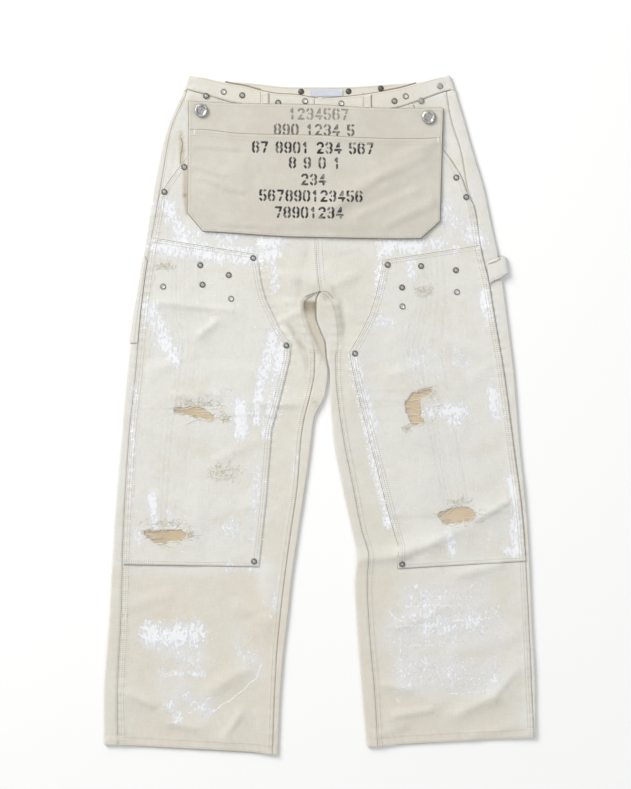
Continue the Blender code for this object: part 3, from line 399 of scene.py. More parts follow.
def frontGrid(leg, rowTimes, columnTimes):
    # columns run from the outseam or pocket edge to the knee line and on to the inseam or rise
    side, gap = leg["side"], cloth["gap"]
    rows, stations = legRows(leg, rowTimes)
    yOut, yKnee, yIn = rows[:, 0].copy(), rows[:, 1], rows[:, 2].copy()
    pocket, waist = leg["rows"]["pocket"][0], leg["rows"]["waist"][0]
    slanted = yOut > pocket
    yOut[slanted] = pocket + (yOut[slanted] - pocket) * (cloth["slantTop"] - pocket) / (waist - pocket)
    xOut = np.where(yOut >= pocket, readCurve(leg["slant"], yOut), outseam(leg, yOut)) - side * gap / 2
    above = np.arange(len(rows)) >= stations["crotch"]
    closed = np.where(above, 0.0, 0.45 * ease((yIn - 96) / 20))
    xIn = np.where(above, readCurve(riseSeam, yIn), innerLine(leg, yIn, 1)) + side * gap * (0.5 - closed)
    yIn[: stations["crotch"] + 1] += gap * 0.1
    xKnee = readLine(leg["knee"], yKnee)
    x = np.hstack([between(xOut, xKnee, 8 * columnTimes), between(xKnee, xIn, 3 * columnTimes)[:, 1:]])
    y = np.hstack([between(yOut, yKnee, 8 * columnTimes), between(yKnee, yIn, 3 * columnTimes)[:, 1:]])
    y = trimTop(y, bandLower(x[-1]) - 2 * gap)
    z = frontHeight(leg, x, y)
    z[: stations["hemStitch"] + 1] += cloth["hemRaise"]
    return stack(x, y, z), stations


def rollSection(edge, y, radius, reach, angles):
    # points round a rolled edge: radius is half its height, reach its signed depth towards the leg
    turn = np.radians(angles)
    return stack(edge[:, None] + reach[:, None] * (1 - np.cos(turn)), y[:, None],
                 radius[:, None] * (1 + np.sin(turn)))


def backGrid(leg, rowTimes):
    # outseam, outer roll, underside, inner roll and inseam of each row, or centre back above the crotch
    side, gap = leg["side"], cloth["gap"]
    rows, stations = legRows(leg, rowTimes)
    yOut, yIn, yBack = rows[:, 0], rows[:, 2], rows[:, 3]
    index = np.arange(len(rows))
    raised = np.where(index <= stations["hemStitch"], cloth["hemRaise"], 0.0)
    outer = outerEdge(leg, yOut)
    top = topHeight(leg, outer, yOut) + raised
    seam = outseam(leg, yOut) + side * gap / 2
    reach = np.minimum(top / 2, np.abs(outer - seam) - 0.8)
    strip = between(seam, outer - side * reach, 3)[:, :-1]
    first = stack(strip, yOut[:, None], topHeight(leg, strip, yOut[:, None]) + raised[:, None])
    down = np.linspace(90, -90, 11)
    outerRoll = rollSection(outer, yOut, top / 2, -side * reach, down)
    head = np.concatenate([first, outerRoll], axis=1)

    def innerSide(yAt, atCrotch):
        fold, inner, seamIn = (innerLine(leg, yAt, column) for column in (2, 3, 1))
        if atCrotch:
            fold, inner, seamIn = (np.full_like(yAt, side * far) for far in (2.8, 0.6, 0.35))
        topIn = topHeight(leg, fold, yAt) + raised[: len(yAt)]
        low = ease((np.abs(inner - fold) - 1) / 5) if not atCrotch else np.ones_like(yAt)
        radius = topIn / 2 * (1 - low) + cloth["forkRoll"] * low
        y = yAt - gap / 2
        up = np.linspace(-90, 90, 11)
        edge = rollSection(inner, y, radius, side * radius, up)
        seamIn = seamIn - side * gap / 2
        start = edge[:, -1, 0]
        if atCrotch:
            lastStrip = np.array([[side * 2.5, -1.0, 3.1], [side * 2.2, -0.9, 3.3], [side * 2.1, -0.8, 3.5],
                                  [side * 1.2, -0.5, 3.65], [side * 0.5, -0.2, 3.8]])
            stripIn = lastStrip[None] + stack(0, yAt[:, None], 0)
        else:
            xPlain = between(start, seamIn, 5)[:, 1:]
            plain = stack(xPlain, y[:, None], topHeight(leg, xPlain, y[:, None]) + raised[: len(y), None])
            xLow = np.stack([(start + fold - side * 1.6) / 2, fold - side * 1.6, fold - side * 0.4,
                             fold + side * 1.2, seamIn], axis=1)
            zLow = np.stack([2 * radius, 2 * radius + 0.1, topIn * 0.75, topIn - 0.1,
                             topHeight(leg, seamIn, y)], axis=1)
            stripIn = plain * (1 - low[:, None, None]) + stack(xLow, y[:, None], zLow) * low[:, None, None]
        return edge, stripIn

    def inside(count, atCrotch=False, row=None):
        part = slice(0, count) if row is None else slice(row, row + 1)
        edge, stripIn = innerSide(yIn[part], atCrotch)
        corner = head[part, -1]
        under = edge[:, 0]
        share = (np.arange(1, 7) / 7)[None, :, None]
        flat = corner[:, None] + (under - corner)[:, None] * share
        flat[..., 2] = 0.0
        return np.concatenate([flat, edge, stripIn], axis=1)

    def seat(row):
        rise = (row - stations["crotch"]) / (len(rows) - 1 - stations["crotch"])
        corner, columns = head[row, -1], 22
        centre = side * gap / 2
        even = corner[0] + (centre - corner[0]) * np.arange(1, columns + 1) / columns
        near = np.concatenate([corner[0] + (side * 27 - corner[0]) * np.arange(1, 7) / 7,
                               side * np.linspace(27, gap / 2, columns - 6)])
        x = near * (1 - rise**0.7) + even * rise**0.7
        y = corner[1] + (yBack[row] - corner[1]) * (corner[0] - x) / (corner[0] - centre)
        return stack(x, y, 0.0)

    # formula rows up to the crotch's last step, and straight steps between coarse rows above it
    low, high = stations["underCrotch"], stations["crotch"]
    tail = np.zeros((len(rows), 22, 3))
    tail[: low + 1] = inside(low + 1)
    coarse = {low: tail[low], high: inside(1, True, high)[0]}
    for row in range(high + rowTimes, len(rows), rowTimes):
        coarse[row] = seat(row)
    marks = sorted(coarse)
    for a, b in zip(marks, marks[1:]):
        share = (np.arange(a, b + 1) - a)[:, None, None] / (b - a)
        tail[a : b + 1] = coarse[a] * (1 - share) + coarse[b] * share
    grid = np.concatenate([head, tail], axis=1)
    trimTop(grid[..., 1], bandLower(grid[-1, :, 0], back=True) - 2 * gap)
    return grid, stations


def gridNormals(grid, flip):
    # square to the two directions of the grid
    normal = np.cross(np.gradient(grid, axis=1), np.gradient(grid, axis=0))
    normal /= np.maximum(np.linalg.norm(normal, axis=-1, keepdims=True), 1e-9)
    return -normal if flip else normal


def meshFrom(name, points, faces, finish, nodes=(), values=None, uv=None, sharp=50):
    mesh = bpy.data.meshes.new(name)
    mesh.from_pydata((points * mm).tolist(), [], faces.tolist() if hasattr(faces, "tolist") else faces)
    mesh.materials.append(finish)
    mesh.shade_smooth()
    mesh.set_sharp_from_angle(angle=math.radians(sharp))
    for key, value in (values or {}).items():
        mesh.attributes.new(key, "FLOAT", "POINT").data.foreach_set("value", value.astype(np.float32))
    if uv is not None:
        corner = np.zeros(len(mesh.loops), np.int32)
        mesh.loops.foreach_get("vertex_index", corner)
        mesh.uv_layers.new(name="cloth").data.foreach_set("uv", (uv * mm)[corner].astype(np.float32).ravel())
    piece = bpy.data.objects.new(name, mesh)
    bpy.context.scene.collection.objects.link(piece)
    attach(piece, "root")
    if nodes:
        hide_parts(*nodes)
    return piece


trees = {}  # what smaller things are dropped on
cuts = {}  # each piece's width, length and area as laid


def clothWall(name, grid, finish, nodes=(), wall=None, flip=False, keep=None, values=None, soft=0.32):
    # The outer face is the grid, the inner one is moved back along its normals. Three rings go round the rim:
    # the outer ring drawn in and down, a middle ring on the true edge, and the inner ring
    wall = cloth["wall"] if wall is None else wall
    rows, columns = grid.shape[:2]
    normal = gridNormals(grid, flip)
    index = np.arange(rows * columns).reshape(rows, columns)
    faces = np.stack([index[:-1, :-1], index[:-1, 1:], index[1:, 1:], index[1:, :-1]], -1).reshape(-1, 4)
    if flip:
        faces = faces[:, ::-1]
    if keep is not None:
        faces = faces[keep.reshape(-1)]
    used, faces = np.unique(faces, return_inverse=True)
    faces = faces.reshape(-1, 4)
    outer, normal = grid.reshape(-1, 3)[used], normal.reshape(-1, 3)[used]
    edges = np.concatenate([faces[:, [0, 1]], faces[:, [1, 2]], faces[:, [2, 3]], faces[:, [3, 0]]])
    _, first, count = np.unique(np.sort(edges, 1), axis=0, return_index=True, return_counts=True)
    rim = edges[first[count == 1]]
    away = np.cross(outer[rim[:, 1]] - outer[rim[:, 0]], normal[rim[:, 0]])
    push = np.zeros_like(outer)
    np.add.at(push, rim[:, 0], away)
    np.add.at(push, rim[:, 1], away)
    ring = np.unique(rim)
    push[ring] /= np.maximum(np.linalg.norm(push[ring], axis=1, keepdims=True), 1e-9)
    inner = outer - normal * wall
    middle = outer[ring] - normal[ring] * wall / 2
    soft = np.broadcast_to(soft, (rows, columns)).reshape(-1)[used][:, None]
    outer = outer - push * soft * wall
    outer[ring] -= normal[ring] * wall * 0.375 * soft[ring]
    count = len(outer)
    place = np.zeros(count, int)
    place[ring] = np.arange(len(ring)) + 2 * count
    a, b = rim[:, 0], rim[:, 1]
    allFaces = np.concatenate([
        faces, faces[:, ::-1] + count,
        np.stack([b, a, place[a], place[b]], 1), np.stack([place[b], place[a], a + count, b + count], 1)])
    overStep, upStep = np.diff(grid, axis=1), np.diff(grid, axis=0)
    across = np.concatenate([np.zeros((rows, 1)), np.cumsum(np.linalg.norm(overStep, axis=-1), 1)], 1)
    upwards = np.concatenate([np.zeros((1, columns)), np.cumsum(np.linalg.norm(upStep, axis=-1), 0)])
    uv = np.stack([across - across[:, columns // 2][:, None], upwards], -1).reshape(-1, 2)[used]
    values = {key: value.reshape(-1)[used] for key, value in (values or {}).items()}
    values = {key: np.concatenate([value, value, value[ring]]) for key, value in values.items()}
    points, uv = np.concatenate([outer, inner, middle]), np.concatenate([uv, uv, uv[ring]])
    trees[name] = BVHTree.FromPolygons((points * mm).tolist(), allFaces.tolist())
    piece = meshFrom(name, points, allFaces, finish, nodes, values, uv)
    cells = np.linalg.norm(np.cross(overStep[:-1], upStep[:, :-1]), axis=-1)
    area = cells.sum() if keep is None else cells[keep].sum()
    cuts[piece.name] = float(across[:, -1].max()), float(upwards[-1].max()), float(area)
    return piece


def plainValues(grid):
    return {"tintAndPaintedShade": np.zeros(grid.shape[:2])}


def declareSheet(piece):
    # the cut's width, length and area are what the laid cloth measures along its own surface
    width, length, area = cuts[piece.name]
    width, length, area = width * mm, length * mm, area * mm * mm
    area = min(area, width * length)
    print("sheet", piece.name, round(width, 3), round(length, 3), round(area, 4))


def valuesAt(leg, grid, back=False):
    x, y = grid[..., 0], grid[..., 1]
    # the painted shade of the fork and of the gaping pocket goes in with the tint
    tintAndPaintedShade = forkAndSeamTint(leg, x, y) + (forkShade(x, y) if back else gapeShade(x, y))
    return {"paint": paintAt(x, y), "wear": wearAt(x, y), "tintAndPaintedShade": tintAndPaintedShade, "wash": washAt(leg, x, y),
            "shade": paintedValleyShade(valleys, x, y), "haze": paintAt(x, y, hazes)}


puckers = [[(0, 193), (9.4, 185.6), (15.6, 174.7)], [(3, 193.5), (12.5, 191.9), (17, 187), (20.3, 181)],
           [(-3, 192), (-14, 188.8), (-23.4, 181)], [(4.7, 187), (12.5, 174.7)], [(-4, 189.5), (-12, 185.5)]]

# Brushed white paint: x1, y1, x2, y2, half width, amount
paintStrokes = [
    (-262, 264, -101, 245, 17, 0.84), (-205, 268, -108, 252, 14, 0.74), (-88, 270, -66, 268, 15, 0.95),
    (-190, 282, -130, 280, 14, 0.7), (-84, 250, -66, 252, 10, 0.9), (95, 262, 190, 270, 13, 0.8),
    (-72, 126, -92, 60, 13, 0.85), (-84, 90, -102, -10, 10, 0.85), (60, 70, 82, -10, 10, 0.75),
    (95, 232, 96, 190, 9, 0.6), (-76, 245, -69, 198, 9, 0.75), (-265, 161, -231, 89, 20, 0.8),
    (-124, 16, -122, -22, 15, 1.0), (-59, 109, -84, -31, 12, 0.7), (-97, -86, -103, -195, 9, 0.6),
    (-264, -130, -256, -173, 9, 0.95), (-238, -146, -230, -173, 7, 0.9), (-284, -178, -280, -200, 8, 0.6),
    (-175, -180, -128, -180, 22, 0.45), (-290, 47, -293, -172, 6, 0.6), (-36, -27, -41, -98, 6, 0.5),
    (-69, -276, -72, -307, 5, 0.5), (-265, -345, -195, -345, 24, 0.85), (-234, -452, -222, -473, 10, 0.6),
    (-246, -401, -183, -404, 8, 0.6), (-215, -437, -172, -463, 12, 0.6), (-242, 327, -206, 273, 20, 0.6),
    (-153, 273, -31, 264, 8, 0.35), (-200, 0, -190, -12, 10, 0.3), (97, 257, 153, 264, 14, 0.75),
    (195, 253, 212, 257, 10, 0.75), (140, 239, 142, 214, 11, 0.75), (89, 145, 108, 145, 12, 0.8),
    (176, 6, 214, 4, 17, 0.95), (198, 2, 212, -16, 9, 0.8), (256, 187, 262, 156, 11, 0.8),
    (268, 36, 275, -2, 10, 1.15), (56, 86, 78, -23, 11, 0.75), (78, -23, 94, -117, 10, 0.65),
    (96, -120, 108, -170, 9, 0.7), (119, -151, 131, -151, 8, 0.6), (297, -100, 303, -130, 7, 1.0),
    (303, -140, 305, -214, 9, 0.85), (284, -208, 306, -216, 8, 0.7), (200, -186, 206, -214, 9, 0.9),
    (144, 83, 212, 83, 30, 0.42), (140, -288, 245, -276, 26, 0.4), (130, -334, 262, -326, 34, 0.52),
    (142, -400, 262, -404, 34, 0.44), (132, -318, 206, -300, 11, 0.62), (196, -320, 262, -316, 9, 0.62),
    (-225, -372, -190, -380, 20, 0.42), (-130, -360, -112, -380, 16, 0.38),
    (-150, -235, -100, -240, 14, 0.4), (195, 317, 246, 276, 22, 0.6), (232, 360, 246, 320, 10, 0.5),
    (-160, 35, -95, 30, 12, 0.35),
]
# Thin paint that the cloth shows through, given as the strokes are
hazes = [
    (150, -286, 240, -280, 38, 0.9), (132, -340, 262, -336, 40, 1.0), (146, -402, 262, -408, 40, 0.9),
    (-250, -350, -195, -376, 30, 0.8), (-232, -425, -190, -455, 34, 0.7), (-130, -352, -104, -400, 26, 0.5),
    (-88, -240, -72, -292, 18, 0.8),
]
# Thin strokes of paint: half width, and the line
paintLines = [
    (0.7, [(-168, -463), (-148, -450), (-129, -437), (-113, -423), (-100, -410), (-94, -398), (-92, -388)]),
    (1.1, [(-206, -465), (-192, -459), (-180, -450), (-168, -437)]),
    (0.8, [(-251, -410), (-232, -405), (-212, -402)]), (0.7, [(-250, -406), (-222, -400)]),
    (0.7, [(-195, -396), (-188, -393), (-181, -388)]), (0.7, [(-192, -329), (-191, -345), (-193, -356)]),
    (0.9, [(-70, -276), (-71, -303)]), (0.8, [(-64, -250), (-66, -258)]), (1.2, [(-91, -288), (-86, -293)]),
    (0.9, [(-78, -311), (-75, -318)]), (0.7, [(-118, -359), (-112, -352), (-105, -345)]),
    (1.0, [(-114, -370), (-107, -372)]), (0.6, [(-170, -348), (-157, -347)]),
    (1.4, [(-262, -352), (-240, -349), (-215, -350), (-200, -344)]),
    (1.3, [(-258, -338), (-230, -342), (-205, -336)]), (1.0, [(136, -299), (170, -297), (203, -298)]),
    (0.9, [(119, -330), (146, -328), (172, -329)]), (1.2, [(203, -322), (235, -319), (265, -316)]),
    (0.7, [(128, -361), (160, -359), (193, -360)]), (0.8, [(200, -436), (236, -433), (273, -430)]),
    (0.7, [(221, -413), (254, -411)]), (2.0, [(147, -265), (153, -271)]),
    (1.1, [(234, -270), (244, -262), (254, -254)]), (1.3, [(107, -306), (118, -317), (128, -323)]),
    (1.0, [(190, -270), (200, -262)]), (0.9, [(150, -378), (166, -390), (172, -386)]),
    (1.0, [(118, -442), (126, -448)]), (1.0, [(221, -392), (228, -398)]), (0.9, [(180, -283), (196, -284)]),
]
# Rubbed, fuzzy spots where the surface yarns are broken: x, y, half width, half height, amount
wearSpots = [
    (-154, -90, 28, 16, 0.8), (161, 193, 20, 12, 0.7), (-244, 232, 20, 9, 0.6), (-148, -6, 10, 6, 0.7),
    (-204, -186, 12, 9, 0.7), (134, -20, 10, 8, 0.7), (172, 30, 14, 9, 0.5), (215, -136, 26, 9, 0.5),
    (-240, -170, 40, 9, 0.5), (-190, 18, 44, 9, 0.5),
]


def paintAt(x, y, strokes=paintStrokes):
    total = np.zeros(np.broadcast(x, y).shape)
    for line in strokes:
        _, aside, past, _ = alongLine(line, x, y)
        total = np.maximum(total, line[5] * np.exp(-(((aside**2 + past**2) / line[4] ** 2) ** 1.2)))
    return total


def wearAt(x, y):
    total = np.zeros(np.broadcast(x, y).shape)
    for cx, cy, wide, tall, amount in wearSpots:
        far = ((x - cx) / wide) ** 2 + ((y - cy) / tall) ** 2
        total = np.maximum(total, amount * np.exp(-(far**1.3)))
    return total


def washAt(leg, x, y):
    # how much the cloth is bleached: the knee panels most, the hems hardly
    knees = ease((y + 262) / 30) * (0.76 + 0.18 * ease((y - 40) / 60)) * (1 - ease((y - 240) / 40))
    inner = ease((x - readLine(leg["knee"], y)) * leg["side"] / 14 + 0.5)
    hips = ease((y - 225) / 40) * (1 - 0.8 * ease((y - 465) / 20))
    sides = (1.3 if leg["side"] > 0 else 0.3) * np.exp(-((x - outseam(leg, y)) / 30) ** 2)
    rise = 0.6 * np.exp(-((x + 1) / 6) ** 2) * ease((y - 195) / 10)
    ridge = 0.55 * np.exp(-(((outseam(leg, y) - x) * leg["side"] - 5.5) / 4) ** 2)
    cloudy = np.maximum(np.maximum(knees * (0.35 + 0.65 * inner), hips * 0.65), 0.5 * sides)
    return np.maximum(cloudy + 0.12 + rise, ridge)


def forkAndSeamTint(leg, x, y):
    # yellower in the fork and a little along the seams; 1 is full
    fork = np.exp(-((x - 2) ** 2 / 22**2 + (y - 172) ** 2 / 40**2))
    seams = np.exp(-((x - outseam(leg, y)) / 3) ** 2) + np.exp(-((x - innerLine(leg, y, 1)) / 3) ** 2)
    return np.clip(0.5 * fork + 0.3 * seams, 0, 1)


# Painted shade on the low cloth between the legs, seen through the fork
forkOutline = [(-26, 178), (-26, 164), (-22, 154), (-16, 132), (-8, 114), (0, 97), (9, 76), (10, 101),
               (8, 119), (4, 128), (-3, 139), (-6, 154), (-6, 177)]


def forkShade(x, y):
    # painted shade, darker towards the crotch
    signed, _, _ = nearestOnOutline(x, y, forkOutline)
    return (0.8 + 1.8 * ease((y - 150) / 20)) * ease((3 - signed) / 5)


gapeLine = [(-217.6, 440, -215.3, 413), (-215.3, 413, -215.3, 393), (-210, 384, -210.5, 343),
            (-210.5, 343, -207, 315)]


def gapeShade(x, y):
    # painted shade in the gaping hand pocket and beside the apron
    return foldHeight([(*line, 1.9, 3.3) for line in gapeLine], x, y)


# Materials
class Field:
    # a shader value; sums and products of fields add their Math nodes
    def __init__(self, finish, socket):
        self.finish, self.socket = finish, socket

    def __add__(self, other):
        return self.finish.math("ADD", self, other)

    def __sub__(self, other):
        return self.finish.math("SUBTRACT", self, other)

    def __mul__(self, other):
        return self.finish.math("MULTIPLY", self, other)

    def __rsub__(self, other):
        return self.finish.math("SUBTRACT", other, self)

    __radd__ = __add__
    __rmul__ = __mul__


class Finish:
    # one material; node() makes any node from its type, its settings and what goes into its sockets
    def __init__(self, name):
        self.material = bpy.data.materials.new(name)
        self.material.use_nodes = True
        self.tree = self.material.node_tree
        self.shader = self.tree.nodes["Principled BSDF"]
        self.place = self.node("TexCoord").outputs["Object"]

    def node(self, kind, settings=None, inputs=None):
        made = self.tree.nodes.new("ShaderNode" + kind)
        for key, value in (settings or {}).items():
            setattr(made, key, value)
        for key, value in (inputs or {}).items():
            self.feed(made.inputs[key], value)
        return made

    def feed(self, socket, value):
        value = value.socket if isinstance(value, Field) else value
        if isinstance(value, bpy.types.NodeSocket):
            self.tree.links.new(value, socket)
        elif hasattr(socket.default_value, "__len__") and len(value) == 3 and socket.type == "RGBA":
            socket.default_value = (*value, 1.0)
        else:
            socket.default_value = value

    def math(self, operation, *values):
        return Field(self, self.node("Math", {"operation": operation}, dict(enumerate(values))).outputs[0])

    def attribute(self, name):
        return Field(self, self.node("Attribute", {"attribute_name": name}).outputs["Fac"])

    def noise(self, scale, detail=3.0, roughness=0.6, stretch=(1, 1, 1), source=None):
        source = self.place if source is None else source
        moved = self.node("Mapping", {}, {"Vector": source, "Scale": stretch}).outputs[0]
        values = {"Vector": moved, "Scale": scale, "Detail": detail, "Roughness": roughness}
        return Field(self, self.node("TexNoise", {"noise_dimensions": "3D"}, values).outputs["Fac"])

    def rise(self, value, low, high):
        # eases from 0 at low to 1 at high
        return Field(self, self.node("MapRange", {"interpolation_type": "SMOOTHSTEP"},
                                     {"Value": value, "From Min": low, "From Max": high}).outputs[0])

    def blend(self, a, b, share):
        mixer = self.node("Mix", {"data_type": "RGBA"})
        self.feed(mixer.inputs[0], share)
        self.feed(mixer.inputs[6], a)
        self.feed(mixer.inputs[7], b)
        return mixer.outputs[2]

    def bump(self, height, distance, before=None):
        made = self.node("Bump", {}, {"Height": height, "Distance": distance})
        if before is not None:
            self.feed(made.inputs["Normal"], before)
        return made.outputs["Normal"]


# Colours are linear. weave is the yarn's pitch in metres
canvasLook = {
    "cream": (0.71, 0.67, 0.58),
    "bleached": (0.745, 0.745, 0.71),
    "yellowed": (0.50, 0.43, 0.30),
    "paintedDeepShade": (0.20, 0.155, 0.095),
    "shade": (0.40, 0.37, 0.315),
    "veil": (0.765, 0.775, 0.795),
    "paint": (0.87, 0.88, 0.905),
    "fuzz": (0.70, 0.64, 0.52),
    "weave": 0.00062,
    "roughness": 0.93,
}
apronLook = dict(canvasLook, cream=(0.605, 0.572, 0.503), bleached=(0.645, 0.617, 0.553),
                 yellowed=(0.50, 0.44, 0.34))
patchLook = dict(canvasLook, cream=(0.60, 0.475, 0.325), bleached=(0.66, 0.55, 0.41),
                 yellowed=(0.46, 0.33, 0.19))
labelLook = dict(canvasLook, cream=(0.64, 0.67, 0.79), bleached=(0.74, 0.76, 0.85), weave=0.0003)


def canvasFinish(name, look, painted=True, inked=False):
    finish = Finish(name)
    uv = finish.node("UVMap", {"uv_map": "cloth"}).outputs[0]
    weave = finish.node("TexWave", {"wave_type": "BANDS", "bands_direction": "X"},
                        {"Vector": uv, "Scale": 0.314 / look["weave"]}).outputs["Fac"]
    weft = finish.node("TexWave", {"wave_type": "BANDS", "bands_direction": "Y"},
                       {"Vector": uv, "Scale": 0.314 / look["weave"]}).outputs["Fac"]
    yarns = Field(finish, weave) + Field(finish, weft)
    slubs = finish.noise(900, 2, 0.5, (1, 0.06, 1), uv) + finish.noise(900, 2, 0.5, (0.06, 1, 1), uv)
    cloud = finish.noise(7, 5, 0.62)
    mottle = finish.noise(60, 4, 0.65)
    tone = finish.rise(cloud + 0.5 * (mottle - 0.5), 0.38, 0.64)
    if painted:
        washed = finish.noise(22, 5, 0.65, (0.6, 1, 1))
        tone = 0.25 * tone + finish.attribute("wash") * (0.55 + 0.9 * finish.rise(washed, 0.35, 0.65))
    colour = finish.blend(look["cream"], look["bleached"], tone)
    # a tint along the seams and in the fork, and painted shade in the fork and the gaping hand pocket; past 1
    # it is all painted shade, going to the deepest shade colour
    tintAndPaintedShade = finish.attribute("tintAndPaintedShade") * (0.7 + 0.6 * mottle)
    colour = finish.blend(colour, look["yellowed"], finish.rise(tintAndPaintedShade, 0, 1.2) * 0.55)
    colour = finish.blend(colour, look["paintedDeepShade"], finish.rise(tintAndPaintedShade, 1.0, 4.2))
    # painted shade in the valleys
    shade = finish.attribute("shade") * (0.6 + 0.8 * mottle)
    colour = finish.blend(colour, look["shade"], finish.rise(shade, 0, 1.4) * 0.62)
    fibres = finish.rise(slubs, 0.8, 1.25)
    colour = finish.blend(colour, look["yellowed"], fibres * 0.16)
    relief = yarns * 0.25 + slubs * 0.5 + mottle * 0.9
    if painted:
        smear = finish.noise(34, 5, 0.68, (1.1, 0.6, 1)) - 0.5
        flecks = finish.noise(240, 4, 0.7, (1.15, 0.55, 1)) - 0.5
        dabs = finish.attribute("paint")
        near = finish.rise(dabs, 0.04, 0.3)
        veil = finish.rise(dabs * 0.75 + smear * 1.3, 0.12, 0.55) * near
        paint = finish.rise(dabs * 0.66 + smear * 1.3 + flecks * 2.2 + 0.04 * yarns, 0.43, 0.49) * near
        strays = finish.rise(finish.noise(260, 2, 0.5) + 0.22 * smear, 0.7, 0.73)
        mist = finish.rise(finish.attribute("haze") + 0.7 * smear, 0.1, 0.75)
        colour = finish.blend(colour, look["veil"], mist * 0.42)
        colour = finish.blend(colour, look["veil"], veil * 0.6)
        colour = finish.blend(colour, look["paint"], paint * 0.9)
        colour = finish.blend(colour, look["paint"], strays * finish.attribute("wash") * 0.8)
        frayed = finish.attribute("wear") + finish.noise(420, 3, 0.7, (1, 0.35, 1)) * 0.8
        fuzz = finish.rise(frayed, 0.82, 1.05)
        colour = finish.blend(colour, look["fuzz"], fuzz * 0.22)
        relief = relief + fuzz * 1.5 + paint * 0.5
    if inked:
        edge = finish.attribute("ink") + (finish.noise(700, 2, 0.6) - 0.5) * 0.9
        ink = finish.rise(edge, 0.1, 0.5) * (0.55 + 0.5 * finish.rise(finish.noise(160, 3, 0.6), 0.25, 0.6))
        colour = finish.blend(colour, (0.035, 0.035, 0.038), ink * finish.attribute("inkTone"))
    finish.feed(finish.shader.inputs["Base Color"], colour)
    finish.feed(finish.shader.inputs["Roughness"], look["roughness"])
    finish.feed(finish.shader.inputs["Specular IOR Level"], 0.25)
    finish.feed(finish.shader.inputs["Sheen Weight"], 0.15)
    finish.feed(finish.shader.inputs["Normal"], finish.bump(relief, 0.00045))
    return finish.material


def metalFinish(name, colour, dark, roughness, blotch=900, share=0.35):
    # tarnish gathers in the hollows of the noise, and the rims stay bright
    finish = Finish(name)
    spots = finish.rise(finish.noise(blotch, 4, 0.6), 0.44, 0.56)
    plain = finish.blend(dark, colour, finish.attribute("tone"))
    finish.feed(finish.shader.inputs["Base Color"], finish.blend(plain, dark, spots * share))
    finish.feed(finish.shader.inputs["Roughness"], spots * 0.2 + roughness)
    finish.feed(finish.shader.inputs["Metallic"], 1.0)
    finish.feed(finish.shader.inputs["Normal"], finish.bump(finish.noise(2500, 2, 0.5), 0.00004))
    return finish.material


def threadFinish(name, colour, dark):
    finish = Finish(name)
    twist = finish.noise(1800, 2, 0.5)
    twisted = finish.blend(colour, dark, finish.rise(twist, 0.35, 0.7) * 0.5)
    finish.feed(finish.shader.inputs["Base Color"], twisted)
    finish.feed(finish.shader.inputs["Roughness"], 0.8)
    finish.feed(finish.shader.inputs["Normal"], finish.bump(twist, 0.0002))
    return finish.material


canvas = canvasFinish("canvas", canvasLook)
apronCanvas = canvasFinish("apron canvas", apronLook, painted=False, inked=True)
patchCanvas = canvasFinish("patch canvas", patchLook, painted=False)
labelTape = canvasFinish("label tape", labelLook, painted=False)
thread = threadFinish("cream thread", (0.80, 0.78, 0.71), (0.62, 0.58, 0.48))
pewter = metalFinish("pewter", (0.78, 0.77, 0.73), (0.11, 0.105, 0.095), 0.5)
silver = metalFinish("silver", (0.74, 0.74, 0.73), (0.20, 0.195, 0.185), 0.36, 340, 0.7)
paintedYarnShadow = threadFinish("painted yarn shadow", (0.47, 0.41, 0.31), (0.33, 0.28, 0.20))
driedPaint = threadFinish("dried paint", (0.88, 0.885, 0.90), (0.78, 0.785, 0.80))
# seam shade: a dark brown that paints the shade along seams, creases, gaps and openings, and in the needle
# holes
shadowed = threadFinish("painted seam shade", (0.25, 0.22, 0.165), (0.42, 0.375, 0.30))
print("materials made")

# Legs: how many grid steps to one of the solids'
legLook = {"rowTimes": 12, "columnTimes": 8, "backRowTimes": 8, "kneeRowTimes": 14, "kneeColumnTimes": 11}


def closedSoftness(grid):
    # rims stay full between the legs and up the rise, where no seam shows
    x, y = grid[..., 0], grid[..., 1]
    return 0.32 - 0.27 * ease((y - 92) / 14) * ease((70 - np.abs(x)) / 12)


def buildLeg(name):
    leg = legs[name]
    flip = leg["side"] > 0
    front, _ = frontGrid(leg, legLook["rowTimes"], legLook["columnTimes"])
    frontPiece = clothWall("front_" + name, front, canvas, ["front_" + name], flip=flip,
                           values=valuesAt(leg, front), soft=closedSoftness(front))
    back, _ = backGrid(leg, legLook["backRowTimes"])
    backPiece = clothWall("back_" + name, back, canvas, ["back_" + name], flip=not flip,
                          values=valuesAt(leg, back, True), soft=closedSoftness(back))
    declareSheet(frontPiece)
    declareSheet(backPiece)
    leg["frontGrid"] = front


def nearestOnOutline(x, y, outline):
    # signed distance to a closed outline, negative inside, and the nearest point on it
    a = np.array(outline, float)
    b = np.roll(a, -1, axis=0)
    run = b - a
    px, py = x[..., None] - a[:, 0], y[..., None] - a[:, 1]
    share = np.clip((px * run[:, 0] + py * run[:, 1]) / (run**2).sum(1), 0, 1)
    nx, ny = a[:, 0] + share * run[:, 0], a[:, 1] + share * run[:, 1]
    distance = np.hypot(x[..., None] - nx, y[..., None] - ny)
    best = distance.argmin(-1)[..., None]
    crosses = ((a[:, 1] > y[..., None]) != (b[:, 1] > y[..., None]))
    at = run[:, 0] * (y[..., None] - a[:, 1]) / np.where(run[:, 1] == 0, 1e-9, run[:, 1]) + a[:, 0]
    inside = (crosses & (x[..., None] < at)).sum(-1) % 2 == 1
    signed = np.take_along_axis(distance, best, -1)[..., 0] * np.where(inside, -1, 1)
    return signed, np.take_along_axis(nx, best, -1)[..., 0], np.take_along_axis(ny, best, -1)[..., 0]


def runAlong(line):
    return np.concatenate([[0], np.cumsum(np.hypot(*np.diff(line, axis=0).T))])


def lineAt(line, at):
    run = runAlong(line)
    return np.stack([np.interp(at, run, line[:, 0]), np.interp(at, run, line[:, 1])], 1)


def polyline(points, cells):
    points = np.array(points, float)
    return lineAt(points, np.linspace(0, runAlong(points)[-1], cells + 1))


